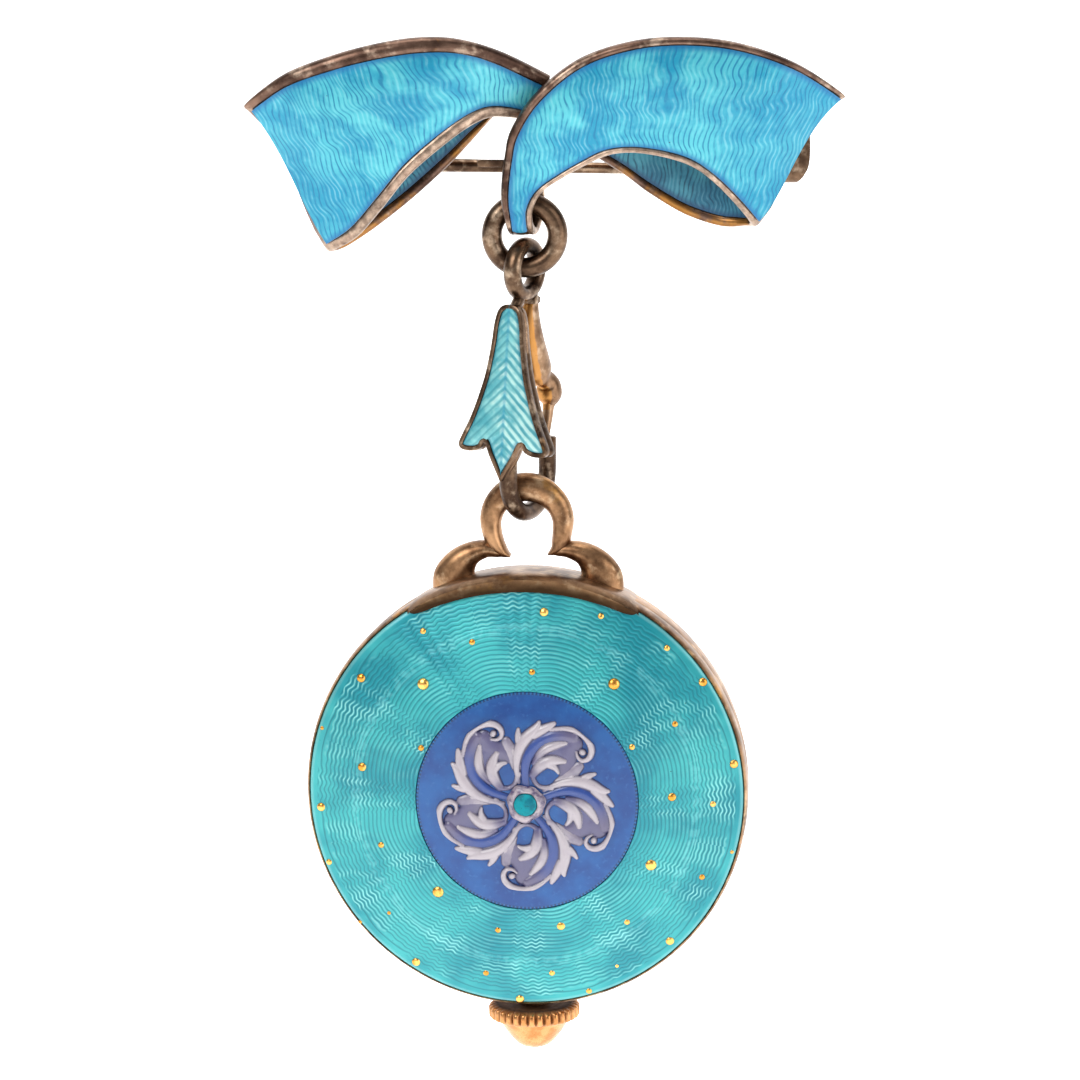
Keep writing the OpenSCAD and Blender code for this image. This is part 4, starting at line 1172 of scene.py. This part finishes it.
def rosette():
    """Closed shell over a grid of radii and angles: the relief above, its buried back below."""
    r = np.linspace(0.4, 5.6, 116)[:, None]
    a = np.radians(np.linspace(0, 72, 101))[None, :-1]
    high, crest, white = (np.concatenate([np.tile(g, 5), g[:, :1]], 1)
                          for g in scroll_relief(r * np.cos(a), r * np.sin(a)))
    a = np.linspace(0, 2 * np.pi, high.shape[1])[None]

    def at(h):
        return np.stack([r * np.cos(a), -dome(r + 0 * a) - h, r * np.sin(a)], -1)

    top, low = at(high), at(-0.2 + 0 * high)
    shell = np.concatenate([top, low[::-1], top[:1]])
    marks = {"crest": [np.concatenate([crest, 0 * crest, crest[:1]])],
             "white": [np.concatenate([white, 0 * white, white[:1]])]}
    return shell, marks


def white_enamel():
    """Blue in the hollows, mauve between and off-white on the strokes, which darken at their edges."""
    f = Finish("white_enamel")
    here = f.place()
    crest, white = f.mark("crest"), f.mark("white")
    haze = f.noise(here, 0.9 * MM, 3)
    marks = f.noise(here, 0.14 * MM, 3)
    colour = f.mix(white.step(0.0, 0.4), rgb(20, 54, 122), rgb(80, 74, 104))
    colour = f.mix((white + haze * 0.5 - 0.28).step(0.35, 1.0), colour, rgb(158, 150, 156))
    colour = f.mix(crest.step(0.66, 0.1) * 0.95, colour, rgb(24, 26, 72))
    colour = f.mix(marks.step(0.6, 0.74) * 0.25, colour, rgb(90, 88, 130))
    return f.done(Base_Color=colour, Roughness=0.3 + 0.2 * marks, Normal=f.bump(marks, 0.02, 0.5),
                  Coat_Weight=0.6, Coat_Roughness=0.1)


shell, marks = rosette()
watch_piece("white_scrolls", [off_centre(shell)], white_enamel(), "white_enamel", marks=marks,
            replaces=["rosette"], crease=70)

# %% Gem and its collar
def wavy_collar():
    """Ring of uneven width: its outer radius takes two slow waves and its top a third."""
    a = np.linspace(0, 2 * np.pi, 97)[None]
    uneven = 0.05 * np.sin(3 * a + 1) + 0.035 * np.sin(7 * a)
    profile = np.array([[0, 0.02], [1.0, 0.02], [1.14, 0.05], [1.18, 0.16], [1.12, 0.32],
                        [0.98, 0.46], [0.84, 0.52], [0.74, 0.48], [0.7, 0.34], [0.68, 0.15], [0, 0.15]])
    r = profile[:, :1] * (1 + uneven * (profile[:, :1] > 0.9))
    h = BACK_H + profile[:, 1:] * (1 + 0.08 * np.sin(5 * a) * (profile[:, 1:] > 0.2))
    return np.stack([r * np.cos(a), -h + 0 * r, r * np.sin(a)], -1)


def collar_finish():
    """White enamel with a mauve haze."""
    f = Finish("collar_white")
    here = f.place()
    haze = f.noise(here, 0.5 * MM, 3).step(0.36, 0.64)
    colour = f.mix(haze, rgb(84, 74, 100), rgb(158, 146, 152))
    return f.done(Base_Color=colour, Roughness=0.26 + 0.16 * haze, Coat_Weight=0.5,
                  Normal=f.bump(f.noise(here, 0.2 * MM, 2), 0.03, 0.5))


def gem_finish():
    """Opaque turquoise-green stone with dark specks and a glossy skin."""
    f = Finish("gem")
    here = f.place()
    cloud = f.noise(here, 0.5 * MM, 3).step(0.35, 0.65)
    specks = f.noise(here, 0.12 * MM, 2, 0.7)
    colour = f.mix(cloud, rgb(0, 92, 108), rgb(0, 128, 138))
    colour = f.mix(specks.step(0.62, 0.72) * 0.8, colour, rgb(10, 62, 66))
    return f.done(Base_Color=colour, Roughness=0.4 + 0.2 * cloud, Specular_IOR_Level=0.2,
                  Normal=f.bump(specks, 0.02, 0.4))


a = np.linspace(0, np.pi / 2, 16)
stone = np.concatenate([[[0, 0.19], [0.66, 0.19], [0.7, 0.3]],
                        np.stack([0.7 * np.cos(a), 0.5 + 0.2 * np.sin(a)], -1)]) + [0, BACK_H]
watch_piece("stone_collar", [off_centre(wavy_collar())], collar_finish(), "collar_white",
            replaces=["gem_collar"])
watch_piece("stone", [off_centre(lathe(stone, 64))], gem_finish(), "gem", replaces=["gem"])

# %% [markdown]
# ## Crown
# The crown is a milled wheel with a stepped dome below. The profile is turned round the stem, and
# where its third column asks for it, the radius dips between the teeth.

# %% Milled crown
TEETH, STEM_TOP, WHEEL_TOP = 33, -12.9, -14.15


def crown_grid():
    """Radius at an angle a is the profile's less a share of (1 - |cos(TEETH a / 2)|) ** 1.5, the gap
    between the teeth. A mark paints shade into the gaps and makes the stem and the wheel's top dark."""
    profile = np.array([
        [0.38, STEM_TOP, 0], [0.38, WHEEL_TOP, 0], [1.9, WHEEL_TOP, 0], [2.3, -14.13, 0],
        [2.6, -14.17, 0.6], [2.78, -14.25, 1], [2.85, -14.35, 1], [2.85, -14.86, 1], [2.78, -14.96, 1],
        [2.6, -15.04, 0.6], [2.36, -15.06, 0], [2.26, -15.09, 0], [2.17, -15.22, 0], [2.0, -15.5, 0],
        [1.77, -15.86, 0], [1.5, -16.24, 0], [1.22, -16.56, 0], [0.92, -16.8, 0], [0.55, -16.94, 0],
        [0, -16.99, 0]])
    a = np.linspace(0, 2 * np.pi, TEETH * 12 + 1)[None]
    gap = (1 - np.abs(np.cos(TEETH * a / 2))) ** 1.5
    r = profile[:, :1] - 0.26 * profile[:, 2:] * gap
    z = profile[:, 1:2] + 0 * a
    top = np.stack([0 * a, 0 * a, STEM_TOP + 0 * a], -1)
    grid = np.concatenate([top, np.stack([r * np.cos(a), r * np.sin(a), z], -1)])
    # Painted shade in the gaps between the teeth; the stem and the wheel's top are darkened as well.
    stem = np.clip((grid[..., 2] - WHEEL_TOP + 0.05) / 0.06, 0, 1)
    return grid, np.clip(stem + 0.55 * np.concatenate([0 * a, profile[:, 2:] * gap]), 0, 1)


grid, shade_and_grime = crown_grid()
crown_gold = gold_finish("crown_gold", rgb(182, 124, 74), rgb(206, 150, 98))
watch_piece("milled_crown", [grid], crown_gold, "gold", "crown", marks={"shade_and_grime": [shade_and_grime]},
            replaces=["crown"])

# %% [markdown]
# ## The dial side
# The other side isn't in the photograph, so it gets a plain enamel dial with numerals and blued
# hands. The watch hangs by its bow with the crown down, and its wearer lifts it to read it, so the
# twelve stands at the crown.

# %% Dial, numerals and glass
TRACK_IN, TRACK_OUT = 10.6, 11.3


def dial_finish():
    """White enamel. Bars for the hours and minutes lie on a ring, from the angle and the radius."""
    f = Finish("dial_white")
    _, _, r, share = f.polar()

    def away(count):
        """Millimetres from the nearest of count even divisions."""
        return (((share + 1) * count + 0.5).fract() - 0.5).abs() * r * (2 * math.pi / count)

    track = r.step(TRACK_IN, TRACK_IN + 0.04) * r.step(TRACK_OUT, TRACK_OUT - 0.04)
    bars = away(60).step(0.07, 0.04).most(away(12).step(0.16, 0.12)) * track
    inner, outer = ((r - radius).abs().step(0.05, 0.02) for radius in (TRACK_IN, TRACK_OUT))
    haze = f.noise(f.place(), 3 * MM, 3)
    colour = f.mix(haze, rgb(226, 222, 210), rgb(240, 238, 230))
    colour = f.mix(bars.most(inner).most(outer) * 0.95, colour, rgb(20, 22, 30))
    return f.done(Base_Color=colour, Roughness=0.22 + 0.1 * haze, Coat_Weight=0.6)


def plain_finish(name, dark, light, size, rough, metallic=0.0):
    """Two close tones and a faint grain."""
    f = Finish(name)
    here = f.place()
    grain = f.noise(here, size * MM, 3)
    return f.done(Base_Color=f.mix(grain.step(0.35, 0.65), dark, light), Metallic=metallic,
                  Roughness=rough + 0.15 * grain, Normal=f.bump(grain, 0.01, 0.4))


DIAL_H = -1.2
NUMERAL_RING, NUMERAL_SIZE, NUMERAL_HALF = 8.7, 2.5, 0.02


def numeral(hour):
    """Solid numeral on the dial, as points in the watch's frame and faces of a text's mesh."""
    angle = hour * math.pi / 6
    curve = bpy.data.curves.new("numeral", "FONT")
    curve.body, curve.size = str(hour), NUMERAL_SIZE
    curve.align_x, curve.align_y = "CENTER", "CENTER"
    curve.extrude, curve.resolution_u = NUMERAL_HALF, 3
    letter = bpy.data.objects.new("numeral", curve)
    mesh = bpy.data.meshes.new_from_object(letter)
    points = np.array([v.co for v in mesh.vertices])
    faces = [tuple(p.vertices) for p in mesh.polygons]
    bpy.data.objects.remove(letter)
    bpy.data.meshes.remove(mesh)
    return np.stack([points[:, 0] + NUMERAL_RING * math.sin(angle),
                     points[:, 2] + NUMERAL_HALF - DIAL_H,
                     -points[:, 1] - NUMERAL_RING * math.cos(angle)], -1), faces


def numerals(finish):
    """All twelve numerals as one piece."""
    points, faces, start = [], [], 0
    for hour in range(1, 13):
        p, f = numeral(hour)
        faces += [tuple(i + start for i in face) for face in f]
        points.append(p)
        start += len(p)
    mesh = bpy.data.meshes.new("numerals")
    mesh.from_pydata((in_watch(np.concatenate(points)) * MM).tolist(), [], faces)
    shell = bmesh.new()
    shell.from_mesh(mesh)
    bmesh.ops.remove_doubles(shell, verts=shell.verts, dist=1e-7)
    bmesh.ops.recalc_face_normals(shell, faces=shell.faces)
    shell.to_mesh(mesh)
    shell.free()
    add_piece("numerals", mesh, "watch", finish)
    print("numerals:", len(mesh.polygons), "faces")


dial = lathe([[0.55, -0.85], [12.2, -0.85], [12.2, -1.17], [12.1, -1.2], [6, -1.2], [0.6, -1.2],
              [0.55, -1.17], [0.55, -0.85]], 128)
watch_piece("dial_plate", [dial], dial_finish(), "dial_white", uvs=[flat_pattern(dial)],
            replaces=["dial"])
numerals(plain_finish("numeral_black", rgb(16, 18, 26), rgb(34, 36, 46), 0.4, 0.4))
blued = plain_finish("hand_blue", rgb(14, 22, 74), rgb(28, 44, 120), 0.6, 0.2, 1.0)
for node in ("hour_hand", "minute_hand"):
    dress(node, blued)
brass = plain_finish("movement_brass", rgb(150, 120, 70), rgb(190, 160, 104), 0.5, 0.3, 1.0)
dress("movement", brass)
glass = Finish("crystal")
smears = glass.noise(glass.place(), 4 * MM, 3)
dress("crystal", glass.done(
    Base_Color=glass.mix(smears, rgb(246, 250, 252), rgb(255, 255, 255)),
    Roughness=0.02 + 0.03 * smears, Transmission_Weight=1.0, IOR=1.3, Alpha=0.45))

# %% [markdown]
# ## Stage
# A pale floor runs far behind the pin and up into a wall, well below it, so that no shadow falls in
# the picture. Large soft lights stand to the left and right, and a grey world fills the rest.

# %% Floor and lights
def stage_floor():
    """Floor that curves up into a wall: a quarter circle between two straight runs."""
    radius, low, back = 0.5, -0.13, 0.6
    a = np.linspace(-np.pi / 2, 0, 24)
    y = np.concatenate([[-4.0], back + radius * np.cos(a), [back + radius]])
    z = np.concatenate([[low], low + radius + radius * np.sin(a), [3.0]])
    x = np.array([-4.0, 4.0])
    grid = np.stack([x[:, None] + 0 * y, y + 0 * x[:, None], z + 0 * x[:, None]], -1)
    mesh = bpy.data.meshes.new("floor")
    mesh.from_pydata(grid.reshape(-1, 3).tolist(), [], quads_of(*grid.shape[:2]).tolist())
    mesh.shade_smooth()
    floor = bpy.data.objects.new("floor", mesh)
    bpy.context.scene.collection.objects.link(floor)
    paper = Finish("pale_floor")
    mottle = paper.noise(paper.place(), 0.4)
    floor.data.materials.append(paper.done(
        Base_Color=paper.mix(mottle, rgb(244, 244, 244), rgb(250, 250, 250)), Roughness=0.9,
        Emission_Color=(1, 1, 1, 1), Emission_Strength=0.85))


def softbox(name, where, size, power):
    """Square area light that faces the object."""
    data = bpy.data.lights.new(name, "AREA")
    data.size = size
    data.energy = power
    light = bpy.data.objects.new(name, data)
    light.location = Vector(where)
    light.rotation_euler = (Vector(where) - TARGET).to_track_quat("Z", "Y").to_euler()
    bpy.context.scene.collection.objects.link(light)


stage_floor()
softbox("key_light", (-0.45, -0.6, 0.55), 0.5, 5.5)
softbox("fill_light", (0.7, -0.5, 0.2), 0.6, 3.2)
softbox("top_light", (0.0, 0.05, 0.9), 0.5, 3.5)
world = bpy.data.worlds.new("studio")
bpy.context.scene.world = world
world.use_nodes = True
background = world.node_tree.nodes["Background"].inputs
background["Color"].default_value = (1, 1, 1, 1)
background["Strength"].default_value = 0.3
bpy.context.scene.view_settings.view_transform = "Standard"
